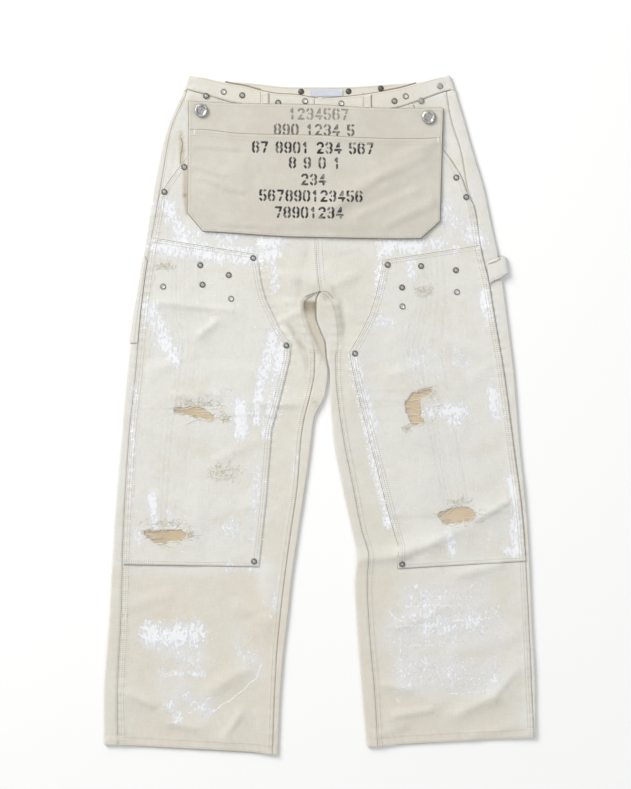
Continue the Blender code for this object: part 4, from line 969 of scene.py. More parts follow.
def raggedOutline(outline, seed, amount):
    # the outline read every 1.6 mm and pushed in and out
    rng = np.random.default_rng(seed)
    a = np.array(outline + outline[:1], float)
    at = np.arange(0, runAlong(a)[-1], 1.6)
    line = lineAt(a, at)
    amount = amount * (1 + 0.6 * np.sin(at * 0.9 + seed))
    ahead = np.roll(line, -1, 0) - np.roll(line, 1, 0)
    normal = np.stack([ahead[:, 1], -ahead[:, 0]], 1) / np.hypot(*ahead.T)[:, None]
    push = rng.normal(0, amount, len(line))
    return line + normal * (0.6 * push + 0.4 * np.roll(push, 1))[:, None]


def buildKnee(name):
    leg = legs[name]
    flip = leg["side"] > 0
    rowTimes, columnTimes = legLook["kneeRowTimes"], legLook["kneeColumnTimes"]
    front, stations = frontGrid(leg, rowTimes, columnTimes)
    low, high = stations["kneeBottom"], stations["kneeTop"]
    panel = front[low : high + 1, : 8 * columnTimes + 1].copy()
    panel[..., 2] += cloth["layer"]
    rowAt = np.arange(panel.shape[0])[:, None] / rowTimes
    columnAt = np.arange(panel.shape[1])[None] / columnTimes
    keep = np.ones((panel.shape[0] - 1, panel.shape[1] - 1), bool)
    for number, (ripName, rip) in enumerate(leg["rips"].items()):
        station, first, last = rip["rows"]
        start = (stations[station] - low) // rowTimes + first
        stop = start + last - first
        left, right = rip["columns"]
        offRows = np.maximum(np.maximum(start - rowAt, rowAt - stop), 0)
        offColumns = np.maximum(np.maximum(left - columnAt, columnAt - right), 0)
        panel[..., 2] += cloth["patchLift"] * ease(1 - offRows) * ease(1 - offColumns)
        begin = low + start * rowTimes
        end = begin + (stop - start) * rowTimes + 1
        patch = front[begin:end:2, left * columnTimes : right * columnTimes + 1 : 2].copy()
        patch[..., 2] += 0.35 + cloth["patchWall"]
        nodeName = "patch_%s_%s" % (name, ripName)
        piece = clothWall(nodeName, patch, patchCanvas, [nodeName], cloth["patchWall"], flip,
                          values=plainValues(patch))
        declareSheet(piece)
        outline = raggedOutline(rip["outline"], 40 + number + (5 if flip else 0), 1.25)
        rip["ragged"] = outline
        signed, nearX, nearY = nearestOnOutline(panel[..., 0], panel[..., 1], outline)
        inside = signed < 0
        whole = inside[:-1, :-1] & inside[1:, :-1] & inside[:-1, 1:] & inside[1:, 1:]
        keep &= ~whole
        panel[..., 0] = np.where(inside, nearX, panel[..., 0])
        panel[..., 1] = np.where(inside, nearY, panel[..., 1])
    piece = clothWall("knee_" + name, panel, canvas, ["knee_" + name], flip=flip, keep=keep,
                      values=valuesAt(leg, panel))
    leg["kneeGrid"] = panel
    return piece


def buildFacing(name):
    leg = legs[name]
    rows, stations = legRows(leg, 8)
    y = rows[stations["pocket"] :, 0].copy()
    y[0] += 2.0
    xOut = outseam(leg, y) - leg["side"] * cloth["gap"] / 2
    xIn = readCurve(leg["slant"], y) - leg["side"] * 12
    x = between(xOut, xIn, 16)
    y = np.repeat(y[:, None], 17, axis=1)
    y = trimTop(y, bandLower(x[-1]) - 2 * cloth["gap"])
    grid = stack(x, y, topHeight(leg, x, y) + felled(leg, x, y))
    piece = clothWall("pocket_facing_" + name, grid, canvas, ["pocket_facing_" + name],
                      flip=leg["side"] > 0, values=valuesAt(leg, grid))
    declareSheet(piece)


bandLook = {"rows": 10, "front": 64, "back": 28}


def buildWaistband(name):
    # each row runs from centre front over the side roll and along the underside to centre back
    leg = legs[name]
    side = leg["side"]
    share = np.linspace(0, 1, bandLook["rows"] + 1)
    ySide = 505 + 25 * share
    outer = outerEdge(leg, ySide)
    top = topHeight(leg, outer, ySide) + cloth["bandRaise"]
    corner = outer - side * top / 2
    x = between(np.full_like(share, cloth["centreFront"] + side * 0.2), corner, bandLook["front"])[:, :-1]
    low, high = bandLower(x), readCurve(waistTop, x)
    y = low + (high - low) * share[:, None]
    front = stack(x, y, topHeight(leg, x, y) + cloth["bandRaise"])
    side90 = rollSection(outer, ySide, top / 2, -side * top / 2, np.linspace(90, -90, 11))
    x = between(corner, np.full_like(share, side * 0.2), bandLook["back"])[:, 1:]
    low, high = bandLower(x, True), readCurve(waistTop, x, 2)
    back = stack(x, low + (high - low) * share[:, None], 0.0)
    grid = np.concatenate([front, side90, back], axis=1)
    piece = clothWall("waistband_" + name, grid, canvas, ["waistband_" + name], cloth["bandWall"],
                      flip=side < 0, values=valuesAt(leg, grid))
    declareSheet(piece)


def smoothLine(table, cells):
    x = np.linspace(table[0][0], table[-1][0], cells + 1)
    return np.stack([x, readCurve(table, x)], axis=-1)


def fillBetween(bottom, top, left, right):
    # a Coons patch: both ruled surfaces less the one through the corners
    v = np.linspace(0, 1, len(left))[:, None, None]
    u = np.linspace(0, 1, len(bottom))[None, :, None]
    ruled = bottom[None] * (1 - v) + top[None] * v + left[:, None] * (1 - u) + right[:, None] * u
    return ruled - ((bottom[0] * (1 - u) + bottom[-1] * u) * (1 - v) + (top[0] * (1 - u) + top[-1] * u) * v)


apronLookSizes = {"pouchColumns": 250, "pouchRows": 104, "apronColumns": 250, "lowerRows": 80,
                  "upperRows": 32}


def apronHeight(x, y):
    # the fronts without their relief, the waistband under the top edge, and the apron's own folds
    plain = np.full(np.shape(x), cloth["rest"])
    for leg in legs.values():
        fromOuter = (x - outerEdge(leg, y)) / cloth["swellWidth"]
        plain = plain + cloth["swell"] * np.exp(-fromOuter**2)
    own = foldHeight(apronFolds, x, y) + 1.9 * foldHeight(apronCreases, x, y) - foldHeight(apronValleys, x,
                                                                                           y)
    own = own + 0.9 * rumple(bigRumple, x + 300, y) + 0.35 * rumple(fineRumple, x + 300, y)
    over = 1.4 * ease((y - 405) / 40)
    return plain + cloth["pocketLift"] + cloth["layer"] + 0.1 + over + own


def apronOutline(columns, lowerRows, upperRows):
    top, middle, bottom = (smoothLine(line, columns) for line in (apronTop, pouchTop, apronBottom))
    leftSide = polyline([bottom[0], apronCorners["left"], middle[0]], lowerRows)
    rightSide = polyline([bottom[-1], apronCorners["right"], middle[-1]], lowerRows)
    lower = fillBetween(bottom, middle, leftSide, rightSide)
    upper = fillBetween(middle, top, polyline([middle[0], top[0]], upperRows),
                        polyline([middle[-1], top[-1]], upperRows))
    return lower, upper


def buildApron():
    size = apronLookSizes
    lower, upper = apronOutline(size["apronColumns"], size["lowerRows"], size["upperRows"])
    both = np.vstack([lower, upper[1:]])
    x, y = both[..., 0], both[..., 1]
    grid = stack(x, y, apronHeight(x, y))
    apron = clothWall("apron", grid, apronCanvas, ["apron"],
                      values=apronValues(x, y, digitRows["apron"]))
    declareSheet(apron)
    lower, _ = apronOutline(size["pouchColumns"], size["pouchRows"], 2)
    x, y = lower[..., 0], lower[..., 1]
    pouchGrid = stack(x, y, apronHeight(x, y) + cloth["layer"])
    pouch = clothWall("apron_pouch", pouchGrid, apronCanvas, ["apron_pouch"],
                      values=apronValues(x, y, digitRows["pouch"]))
    declareSheet(pouch)
    return grid, pouchGrid


# Stencilled digits, which only count upwards: row's middle x, y, digits, tone. Strokes on a 4 by 6 raster,
# with the bridge of the stencil upright in the middle ("x") or level ("y")
stencil = {"wide": 2.05, "tall": 2.55, "pitch": 13.6, "space": 9.5, "stroke": 2.0, "bridge": 0.6,
           "tilt": -0.014}
digitRows = {
    "apron": [(-2, 469, "1234567", 0.6), (-9, 444.5, "890 1234 5", 0.8)],
    "pouch": [(-11, 416.5, "67 8901 234 567", 1.0), (-8, 393, "8 9 0 1", 0.94), (-10, 367, "234", 0.9),
              (-14, 341.5, "567890123456", 1.0), (-17, 315.5, "78901234", 0.97)],
}
digitStrokes = {
    "0": ("x", [[(0, 1), (1, 0), (3, 0), (4, 1), (4, 5), (3, 6), (1, 6), (0, 5), (0, 1)]]),
    "1": ("y", [[(0.8, 4.8), (2, 6), (2, 0)]]),
    "2": ("y", [[(0, 5), (1, 6), (3, 6), (4, 5), (4, 4), (0, 0), (4, 0)]]),
    "3": ("x", [[(0, 5), (1, 6), (3, 6), (4, 5), (4, 4), (3, 3.1), (1.4, 3.1)],
                [(3, 3.1), (4, 2), (4, 1), (3, 0), (1, 0), (0, 1)]]),
    "4": ("y", [[(3, 0), (3, 6), (0, 1.8), (4.4, 1.8)]]),
    "5": ("x", [[(4, 6), (0, 6), (0, 3.4), (3, 3.4), (4, 2.5), (4, 1), (3, 0), (1, 0), (0, 1)]]),
    "6": ("x", [[(4, 5), (3, 6), (1, 6), (0, 5), (0, 1), (1, 0), (3, 0), (4, 1), (4, 2.4), (3, 3.4),
                 (0, 3.4)]]),
    "7": ("y", [[(0, 6), (4, 6), (1.6, 0)]]),
    "8": ("x", [[(1, 3.2), (0, 4), (0, 5), (1, 6), (3, 6), (4, 5), (4, 4), (3, 3.2), (1, 3.2), (0, 2.3),
                 (0, 1), (1, 0), (3, 0), (4, 1), (4, 2.3), (3, 3.2)]]),
    "9": ("x", [[(0, 1), (1, 0), (3, 0), (4, 1), (4, 5), (3, 6), (1, 6), (0, 5), (0, 3.6), (1, 2.7),
                 (4, 2.7)]]),
}


def apronValues(x, y, rows):
    # ink is how far inside a stroke a point lies, in millimetres
    ink, tone = np.full(x.shape, -9.0), np.zeros(x.shape)
    for middleX, middleY, digits, shade in rows:
        wide = sum(stencil["space"] if digit == " " else stencil["pitch"] for digit in digits)
        left = middleX - wide / 2 + 2.5
        for digit in digits:
            if digit != " ":
                bridge, strokes = digitStrokes[digit]
                low = middleY - 3 * stencil["tall"] + (left - middleX) * stencil["tilt"]
                near = (np.abs(x - left - 4) < 9) & (np.abs(y - low - 8) < 13)
                px, py = x[near] - left, y[near] - low
                distance = np.full(px.shape, 99.0)
                for stroke in strokes:
                    for (ax, ay), (bx, by) in zip(stroke, stroke[1:]):
                        ax, bx, ay, by = (ax * stencil["wide"], bx * stencil["wide"],
                                          ay * stencil["tall"], by * stencil["tall"])
                        dx, dy = bx - ax, by - ay
                        share = np.clip(((px - ax) * dx + (py - ay) * dy) / (dx * dx + dy * dy), 0, 1)
                        distance = np.minimum(distance, np.hypot(px - ax - share * dx, py - ay - share * dy))
                cut = px - 2 * stencil["wide"] if bridge == "x" else py - 2.9 * stencil["tall"]
                inside = np.minimum(stencil["stroke"] - distance, np.abs(cut) - stencil["bridge"])
                ink[near] = np.maximum(ink[near], inside)
                tone[near] = shade
            left += stencil["space"] if digit == " " else stencil["pitch"]
    return {"tintAndPaintedShade": np.zeros(x.shape), "shade": 0.6 * paintedValleyShade(apronValleys, x, y), "ink": ink,
            "inkTone": tone}


smallLook = {"beltLoops": {"right": -86.0, "left": 74.0}, "loopHalf": 6.0, "label": (-15, 36, 497.5, 508.5),
             "labelTop": 3.25, "toolPocket": (112, 251)}
loopPath = [(-21, 7.8, 221), (-12.5, 8.5, 226), (-3.5, 9.2, 229), (4, 9.1, 231), (9, 8.2, 232),
            (11, 5.6, 232), (11, 3.0, 233), (9, 0.5, 234), (5.3, 0.1, 234), (1.3, 0.1, 234)]


def buildSmallCloth():
    for name, middle in smallLook["beltLoops"].items():
        low, high = float(bandLower(middle)), float(readCurve(waistTop, middle))
        y = np.concatenate([np.linspace(low - 8, low - 1.5, 5)[:-1], np.linspace(low - 1.5, high - 1, 18)])
        y = y[:, None]
        x = middle + np.linspace(-smallLook["loopHalf"], smallLook["loopHalf"], 9)[None]
        lift = cloth["bandRaise"] * np.clip((y - low + 8) / 6.5, 0, 1) + 1.6
        dome = 0.25 * (1 - ((x - middle) / smallLook["loopHalf"]) ** 2)
        grid = stack(x, y, topHeight(legs[name], x, y) + lift + dome)
        piece = clothWall("belt_loop_" + name, grid, canvas, ["belt_loop_" + name], 1.2,
                          values=valuesAt(legs[name], grid))
        declareSheet(piece)
    x1, x2, y1, y2 = smallLook["label"]
    grid = stack(np.linspace(x1, x2, 35)[None], np.linspace(y1, y2, 9)[:, None], smallLook["labelTop"])
    grid[..., 2] += 0.12 * np.sin(grid[..., 0] * 0.35) * ease((grid[..., 1] - y1) / (y2 - y1))
    piece = clothWall("label", grid, labelTape, ["label"], 0.9, values=plainValues(grid))
    declareSheet(piece)
    buildHammerLoop()
    buildToolPocket()


def buildHammerLoop():
    path = np.array(loopPath, float)
    run = np.concatenate([[0], np.cumsum(np.linalg.norm(np.diff(path, axis=0), axis=1))])
    table = np.column_stack([run, path]).tolist()
    at = np.linspace(0, run[-1], 72)
    across = np.linspace(-16, 16, 17)[:, None]
    # the strap narrows where it bulges out past the leg, and its lower corner is drawn up
    bulge = ease((readCurve(table, at, 1)[None] + 6) / 15)
    y = readCurve(table, at, 3)[None] + across * (1 - 0.17 * bulge) + 1.5 * bulge
    x = outerEdge(legs["left"], y) + readCurve(table, at, 1)[None]
    z = readCurve(table, at, 2)[None] + 0.15 * np.cos(across / 16 * math.pi)
    grid = stack(x, y, z)
    smallLook["loopGrid"] = grid
    piece = clothWall("hammer_loop", grid, canvas, ["hammer_loop"], 1.4,
                      values=valuesAt(legs["left"], grid))
    declareSheet(piece)


def buildToolPocket():
    # wrapped over the right leg's outer roll, a layer above it
    leg, (low, high) = legs["right"], smallLook["toolPocket"]
    share = np.linspace(0, 1, 46)[:, None]
    yEdge = low + (high - low) * share
    turn = np.radians(np.linspace(0, 90, 13))[None]
    outer = outerEdge(leg, yEdge)
    radius = topHeight(leg, outer, yEdge) / 2
    out = radius + cloth["layer"] + cloth["gap"]
    y = yEdge - 3 * share * np.degrees(turn) / 90
    roll = stack(outer + radius - out * np.cos(turn), y, radius + out * np.sin(turn))
    ySeam = yEdge[:, 0] - 11 * share[:, 0]
    seam = outseam(leg, ySeam) - 1.0
    end = stack(seam, ySeam, topHeight(leg, seam, ySeam) + cloth["layer"] + cloth["gap"])
    step = np.linspace(0, 1, 7)[1:][None, :, None]
    grid = np.concatenate([roll, roll[:, -1:] * (1 - step) + end[:, None] * step], axis=1)
    smallLook["toolGrid"] = grid
    piece = clothWall("tool_pocket", grid, canvas, ["tool_pocket"], values=valuesAt(leg, grid))
    declareSheet(piece)


# Turned metal: profile from the middle of the top to the foot as radius, height, tone (0 dark, 1 bright)
turnedLook = {
    "ring": [(0, 1.5, 0.8), (0.8, 1.45, 0.8), (1.2, 1.3, 0.75), (1.6, 1.15, 0.5), (2.0, 1.15, 0.35),
             (2.8, 1.5, 0.3), (3.3, 1.6, 0.25), (3.8, 1.4, 0.15), (4.3, 1.0, 0.1), (4.7, 0.5, 0.05),
             (4.5, 0, 0)],
    "hollow": [(0, 0.6, 1), (2.0, 0.65, 1), (2.7, 0.8, 0.95), (3.0, 1.3, 0.55), (3.3, 1.6, 0.45),
               (3.8, 1.5, 0.4), (4.3, 1.0, 0.35), (4.7, 0.4, 0.3), (4.5, 0, 0)],
    "rubbed": [(0, 1.6, 0.7), (1.2, 1.5, 0.65), (2.0, 1.35, 0.5), (2.8, 1.5, 0.6), (3.3, 1.6, 0.65),
               (3.8, 1.4, 0.5), (4.3, 1.0, 0.35), (4.7, 0.5, 0.25), (4.5, 0, 0)],
    "dark": [(0, 1.9, 0.1), (1.4, 1.85, 0.08), (2.6, 1.6, 0.05), (3.6, 1.15, 0.0), (4.4, 0.6, 0.0),
             (4.7, 0.3, 0.0), (4.5, 0, 0)],
    "button": [(0, 3.15, 0.75), (2.2, 3.2, 0.7), (4.4, 3.1, 0.75), (5.6, 3.15, 0.5), (6.3, 3.5, 0.25),
               (7.0, 3.95, 0.8), (7.9, 4.2, 1), (8.9, 4.15, 1), (9.8, 3.8, 0.6), (10.4, 3.2, 0.3),
               (10.3, 2.8, 0.1), (9.2, 2.0, 0.0), (6.5, 1.6, 0.0), (3.4, 1.3, 0.0), (3.2, 0, 0)],
}
turnedSides = {"ring": 28, "rubbed": 28, "hollow": 28, "dark": 24, "button": 48}
studs = [
    ("waist_1", -178, 498, "ring"), ("waist_2", -150.5, 504.5, "hollow"), ("waist_3", -121.5, 499, "ring"),
    ("waist_4", -65.5, 487.5, "ring"), ("waist_5", -23.5, 490, "hollow"), ("waist_6", 33, 486.5, "hollow"),
    ("waist_7", 116, 490, "ring"), ("waist_8", 133.5, 497.5, "hollow"), ("waist_9", 157.5, 490.5, "rubbed"),
    ("waist_10", 187, 513, "rubbed"), ("back_1", -29.5, 505, "dark"), ("back_2", 44.5, 505.5, "dark"),
    ("back_3", 95, 510, "dark"), ("pocket_right_1", -212, 387, "ring"),
    ("pocket_right_2", -243, 348, "ring"), ("pocket_left_1", 212.5, 370.5, "ring"),
    ("pocket_left_2", 228, 340, "ring"), ("knee_right_1", -104.5, 245, "ring"),
    ("knee_right_2", -52.5, 108.5, "ring"), ("knee_right_3", -103, -228.5, "ring"),
    ("knee_right_4", -187, 234, "ring"), ("knee_right_5", -142.5, 218.5, "ring"),
    ("knee_right_6", -183.5, 203.5, "ring"), ("knee_right_7", -245, 200.5, "hollow"),
    ("knee_right_8", -139, 181.5, "hollow"), ("knee_left_1", 105.5, 234.5, "ring"),
    ("knee_left_2", 54.5, 96, "ring"), ("knee_left_3", 128, -232.5, "ring"),
    ("knee_left_4", 157.5, 232.5, "ring"), ("knee_left_5", 212, 226, "ring"),
    ("knee_left_6", 128, 199, "ring"), ("knee_left_7", 213.5, 192, "hollow"),
    ("knee_left_8", 128.5, 169.5, "hollow"),
]
apronButtons = {"button_right": (-185, 474.5), "button_left": (169.5, 464)}


def dropOn(names, spots):
    # where a point coming straight down first meets one of these pieces, and the cloth's direction there
    points, normals = np.full((len(spots), 3), np.nan), np.zeros((len(spots), 3))
    normals[:, 2] = 1
    down = Vector((0, 0, -1))
    for i, (x, y) in enumerate(spots):
        hits = [trees[name].ray_cast(Vector((x * mm, y * mm, 0.1)), down) for name in names]
        hits = [hit for hit in hits if hit[0] is not None]
        if hits:
            top = max(hits, key=lambda hit: hit[0].z)
            points[i] = np.array(top[0]) / mm
            normals[i] = np.array(top[1]) * (1 if top[1].z > 0 else -1)
    return points, normals


def turnedPiece(name, kind, x, y, foot, under, finish):
    # the profile spun round, stood square on the cloth and just clear of its highest point below the foot
    profile = np.array(turnedLook[kind], float)
    sides = turnedSides[kind]
    turn = np.linspace(0, 2 * math.pi, sides, endpoint=False)
    ringSpots = [(x, y)] + [(x + foot * math.cos(a), y + foot * math.sin(a)) for a in turn[:: sides // 8]]
    points, normals = dropOn(under, ringSpots)
    normal = np.nanmean(normals, axis=0)
    normal /= np.linalg.norm(normal)
    base = points[0] + normal * (np.nanmax((points - points[0]) @ normal) + 0.12)
    side = np.cross([0.0, 1.0, 0.0], normal)
    side /= np.linalg.norm(side)
    up = np.cross(normal, side)
    radius, height = profile[1:, 0][:, None, None], profile[1:, 1][:, None, None]
    around = side * np.cos(turn)[:, None] + up * np.sin(turn)[:, None]
    rings = base + around[None] * radius + normal * height
    made = np.concatenate([[base + normal * profile[0, 1]], rings.reshape(-1, 3)])
    levels = len(profile) - 1
    index = 1 + np.arange(levels * sides).reshape(levels, sides)
    after = np.roll(index, -1, axis=1)
    quads = np.stack([index[1:], after[1:], after[:-1], index[:-1]], -1).reshape(-1, 4).tolist()
    fans = [[0, int(a), int(b)] for a, b in zip(index[0], after[0])]
    tone = np.concatenate([[profile[0, 2]], np.repeat(profile[1:, 2], sides)])
    return meshFrom(name, made, quads + fans + [index[-1][::-1].tolist()], finish, [name],
                    {"tone": tone}, sharp=60)


def buildHardware():
    under = [name for name in trees if name.split("_")[0] in ("front", "knee", "waistband", "pocket")]
    for name, x, y, kind in studs:
        turnedPiece("stud_" + name, kind, x, y, 4.7, under, pewter)
    for name, (x, y) in apronButtons.items():
        turnedPiece(name, "button", x, y, 3.4, ["apron"], silver)


def tubes(paths, wide, tall, normals, sides):
    # many short threads at once: paths are (thread, ring, xyz), and each ring is an oval across its path
    ahead = np.gradient(paths, axis=1)
    ahead /= np.maximum(np.linalg.norm(ahead, axis=-1, keepdims=True), 1e-9)
    aside = np.cross(ahead, normals)
    aside /= np.maximum(np.linalg.norm(aside, axis=-1, keepdims=True), 1e-9)
    up = np.cross(aside, ahead)
    turn = 2 * math.pi * np.arange(sides) / sides
    points = (paths[:, :, None] + aside[:, :, None] * (wide[..., None] * np.cos(turn))[..., None]
              + up[:, :, None] * (tall[..., None] * np.sin(turn))[..., None])
    index = np.arange(points.size // 3).reshape(points.shape[:3])
    after = np.roll(index, -1, axis=2)
    quads = np.stack([index[:, :-1], index[:, 1:], after[:, 1:], after[:, :-1]], -1).reshape(-1, 4)
    return points.reshape(-1, 3), quads.tolist() + index[:, 0].tolist() + index[:, -1, ::-1].tolist()


def insetLine(line, distance):
    # the line moved to its left
    ahead = np.gradient(np.asarray(line, float)[:, :2], axis=0)
    ahead /= np.maximum(np.linalg.norm(ahead, axis=1, keepdims=True), 1e-9)
    return np.asarray(line, float)[:, :2] + np.stack([-ahead[:, 1], ahead[:, 0]], 1) * distance


# Bars laid on the cloth: half width, half height, lift of ends and middle, and how much the ends taper
stitchLook = {"length": 2.3, "pitch": 3.3, "tackPitch": 0.85, "tackLean": 0.3, "wide": 0.42, "tall": 0.34,
              "ends": -0.12, "middle": 0.14, "taper": 0.45}
holeLook = {"length": 1.5, "tackPitch": 2.2, "wide": 0.45, "tall": 0.1, "ends": 0.0, "middle": 0.05,
            "taper": 0.6}
speckLook = {"wide": 0.28, "tall": 0.1, "ends": 0.02, "middle": 0.05, "taper": 0.3}
seamLook = {"length": 3.1, "pitch": 3.0, "wide": 0.5, "tall": 0.12, "ends": 0.02, "middle": 0.02,
            "taper": 1.0}
edgeLook = {"length": 3.2, "pitch": 3.0, "wide": 0.8, "tall": 0.25, "ends": 0.1, "middle": 0.1, "taper": 1.0}


def lineLength(line):
    return float(np.hypot(*np.diff(line, axis=0).T).sum())


def dashes(name, starts, ends, under, look, finish):
    # short bars laid from each start to its end, on whatever is on top there
    a, normalA = dropOn(under, starts)
    b, normalB = dropOn(under, ends)
    good = ~(np.isnan(a[:, 0]) | np.isnan(b[:, 0])) & (np.abs(a[:, 2] - b[:, 2]) < 1.2)
    a, b, normal = a[good], b[good], (normalA + normalB)[good]
    normal /= np.linalg.norm(normal, axis=1, keepdims=True)
    share = np.array([0, 0.2, 0.8, 1])[None, :, None]
    lift = np.array([look["ends"], look["middle"], look["middle"], look["ends"]])
    paths = a[:, None] * (1 - share) + b[:, None] * share + normal[:, None] * lift[None, :, None]
    size = np.broadcast_to(look["wide"], len(good))[good][:, None]
    swell = np.array([look["taper"], 1, 1, look["taper"]])[None]
    normals = np.repeat(normal[:, None], 4, axis=1)
    points, faces = tubes(paths, swell * size, swell * look["tall"] * np.ones_like(size), normals, 5)
    return meshFrom(name, points, faces, finish)


def cutUp(lines, pitch, length, start):
    # pieces of a length every pitch along the lines; start 0.5 centres them, 0 puts them between
    starts, ends = [], []
    for line in lines:
        line = np.asarray(line, float)[:, :2]
        count = max(int(lineLength(line) / pitch), 1)
        middle = (np.arange(count) + start) * lineLength(line) / count
        starts.append(lineAt(line, middle - length / 2))
        ends.append(lineAt(line, middle + length / 2))
    return np.concatenate(starts), np.concatenate(ends)


def sewn(name, lines, under, tacks=()):
    # stitches along the lines, a needle hole of painted shade after each, and crossing stitches for each
    # tack: x, y, direction in degrees, length, width
    starts, ends = [[part] for part in cutUp(lines, stitchLook["pitch"], stitchLook["length"], 0.5)]
    holeStarts, holeEnds = [[part] for part in cutUp(lines, stitchLook["pitch"], holeLook["length"], 0)]
    for x, y, turn, length, width in tacks:
        ux, uy = math.cos(math.radians(turn)), math.sin(math.radians(turn))
        along, aside = np.array([[ux, uy]]), np.array([[-uy, ux]]) * width / 2
        at = np.arange(-length / 2, length / 2, stitchLook["tackPitch"])[:, None]
        middle = np.array([[x, y]]) + at * along
        lean = aside + stitchLook["tackLean"] * along
        starts.append(middle - lean)
        ends.append(middle + lean)
        at = np.arange(-length / 2, length / 2 + 1, holeLook["tackPitch"])[:, None]
        holeStarts.append(np.array([[x, y]]) + at * along + aside)
        holeEnds.append(np.array([[x, y]]) + at * along - aside)
    starts, ends, holeStarts, holeEnds = (np.concatenate(part) for part in (starts, ends, holeStarts,
                                                                            holeEnds))
    dashes(name, starts, ends, under, stitchLook, thread)
    dashes(name.replace("stitches", "holes"), holeStarts, holeEnds, under, holeLook, shadowed)


def shaded(name, lines, under, wide=0.5):
    # a painted line of shade where one cloth's edge meets the cloth below
    starts, ends = cutUp(lines, seamLook["pitch"], seamLook["length"], 0.5)
    dashes(name, starts, ends, under, dict(seamLook, wide=wide), shadowed)


def upright(xAt, low, high):
    y = np.linspace(low, high, 240)
    return np.stack([xAt(y), y], 1)


def beside(xAt, low, high, distances):
    # upright lines at these distances from a curve
    return [upright(lambda y: xAt(y) + far, low, high) for far in distances]


def insets(line, distances):
    return [insetLine(line, far) for far in distances]


def level(x, y):
    return np.stack([x, y], 1)


legTacks = {
    "right": [(-259, 214, 84, 9, 3.2), (-266, 127, 84, 10, 3.2), (-267, 98, 84, 16, 3.2),
              (-291, -118, 88, 18, 3.2), (-303, -315, 88, 12, 3.2), (-213, 455, 0, 10, 3),
              (-246, 344, 60, 9, 3)],
    "left": [(233, 338, 120, 9, 3), (243, 318, 96, 10, 3.2), (252, 286, 96, 9, 3), (258, 209, 96, 10, 3),
             (300, -150, 92, 12, 3.2), (314, -330, 92, 12, 3.2)],
}


# Where rows of stitches and the lines of painted shade run: distances in from a seam or edge, and where they
# end
seamPlan = {
    "outseam": np.array([1.6, 5.4, 9.4]), "outseamTop": 336,
    "inseam": np.array([1.8, 6.4]), "inseamTop": 104,
    "hem": np.array([12.5, 3.0]), "slant": np.array([1.8, 7.0]), "slantEnds": (342, 498),
    "rise": {"right": [(-2.4, 200, 300)], "left": [(3.0, 200, 300), (9.5, 205, 300)]},
    "kneeSide": np.array([1.8, 5.4, 9.4]), "kneeEnd": np.array([1.8, 5.6]),
    "facing": 2.0, "facingEnds": (342, 494), "shadeGap": 0.5,
    "bandLow": 2.0, "bandTop": 2.2, "bandBack": 2.0, "bandEnd": 192, "backEnds": (3, 118),
    "backSeam": 0.8, "backGap": 1.5, "gapEnds": (92, 152), "gapLeast": 1.6, "bandEdge": 0.3,
    "edgeEnds": (96, 196), "loop": (-4.2, 4.2), "loopEdge": (-6.6, 6.6), "loopTack": 3.4,
    "apron": 3.2, "apronTop": 3.6, "pouch": np.array([4.2, 8.8]), "apronShadeGap": 0.6, "label": 1.6,
}
apronTacks = [(-195, 441, 88, 9, 3.2), (184, 429, 92, 9, 3.2)]
hammerTacks = [(258, 210, 92, 10, 3.2), (256, 232, 92, 10, 3.2)]
toolTacks = [(-273, 218, 84, 12, 3.2)]
hammerOpening = [(285.5, 249), (281, 243.5), (275, 239.5), (268, 236.8), (260, 235)]
pocketGap = [(-217.5, 433), (-214, 424), (-217.3, 406), (-218, 392)]


def sewLeg(name):
    leg, plan = legs[name], seamPlan
    side, hem = leg["side"], leg["rows"]["hem"]
    lines = beside(lambda y: outseam(leg, y), hem[0] + 2, plan["outseamTop"], -side * plan["outseam"])
    lines += beside(lambda y: innerLine(leg, y, 1), hem[2] + 2, plan["inseamTop"], side * plan["inseam"])
    lines += insets(leg["frontGrid"][0], -side * plan["hem"])
    leg["slantLine"] = upright(lambda y: readCurve(leg["slant"], y), *plan["slantEnds"])
    lines += insets(leg["slantLine"], side * plan["slant"])
    for far, low, high in plan["rise"][name]:
        lines += beside(lambda y: readCurve(riseSeam, y), low, high, [far])
    sewn("stitches_front_" + name, lines, ["front_" + name, "knee_" + name], legTacks[name])


def sewKnee(name):
    leg, plan = legs[name], seamPlan
    side, panel = leg["side"], leg["kneeGrid"]
    low, corner, high = (leg["rows"][row][1] for row in ("kneeBottom", "kneeCorner", "kneeTop"))

    def kneeLine(y):
        return readLine(leg["knee"], y)

    lines = insets(upright(kneeLine, low + 3, corner - 2), -side * plan["kneeSide"])
    lines += insets(upright(kneeLine, corner + 2, high - 3), -side * plan["kneeSide"])
    lines += insets(panel[-1], side * plan["kneeEnd"]) + insets(panel[0], -side * plan["kneeEnd"])
    sewn("stitches_knee_" + name, lines, ["knee_" + name])
    # painted shade at the foot of the panel's edges
    shadeGap = side * plan["shadeGap"]
    lines = [insetLine(panel[-1], -shadeGap), insetLine(panel[0], shadeGap)]
    if name == "left":
        lines = [insetLine(upright(kneeLine, low, corner), shadeGap),
                 insetLine(upright(kneeLine, corner, high), shadeGap)] + lines
    shaded("seam_knee_" + name, lines, ["front_" + name], 0.4)
    if name == "left":
        # painted shade in the puckers at the crotch
        lines = [polyline(line, 12) for line in puckers]
        shaded("puckers", lines, ["front_right", "front_left"], 0.42)


def sewPocket(name):
    leg, plan = legs[name], seamPlan
    side, facing = leg["side"], "pocket_facing_" + name
    # painted shade beside the pocket's slanted edge, and in the gaping pocket
    shaded("seam_pocket_" + name, insets(leg["slantLine"], [-side * plan["shadeGap"]]), [facing])
    if name == "right":
        shaded("gap_pocket", [polyline(pocketGap, 16)], [facing, "front_right"], 0.8)
    lines = beside(lambda y: outseam(leg, y), *plan["facingEnds"], [-side * plan["facing"]])
    sewn("stitches_facing_" + name, lines, [facing])


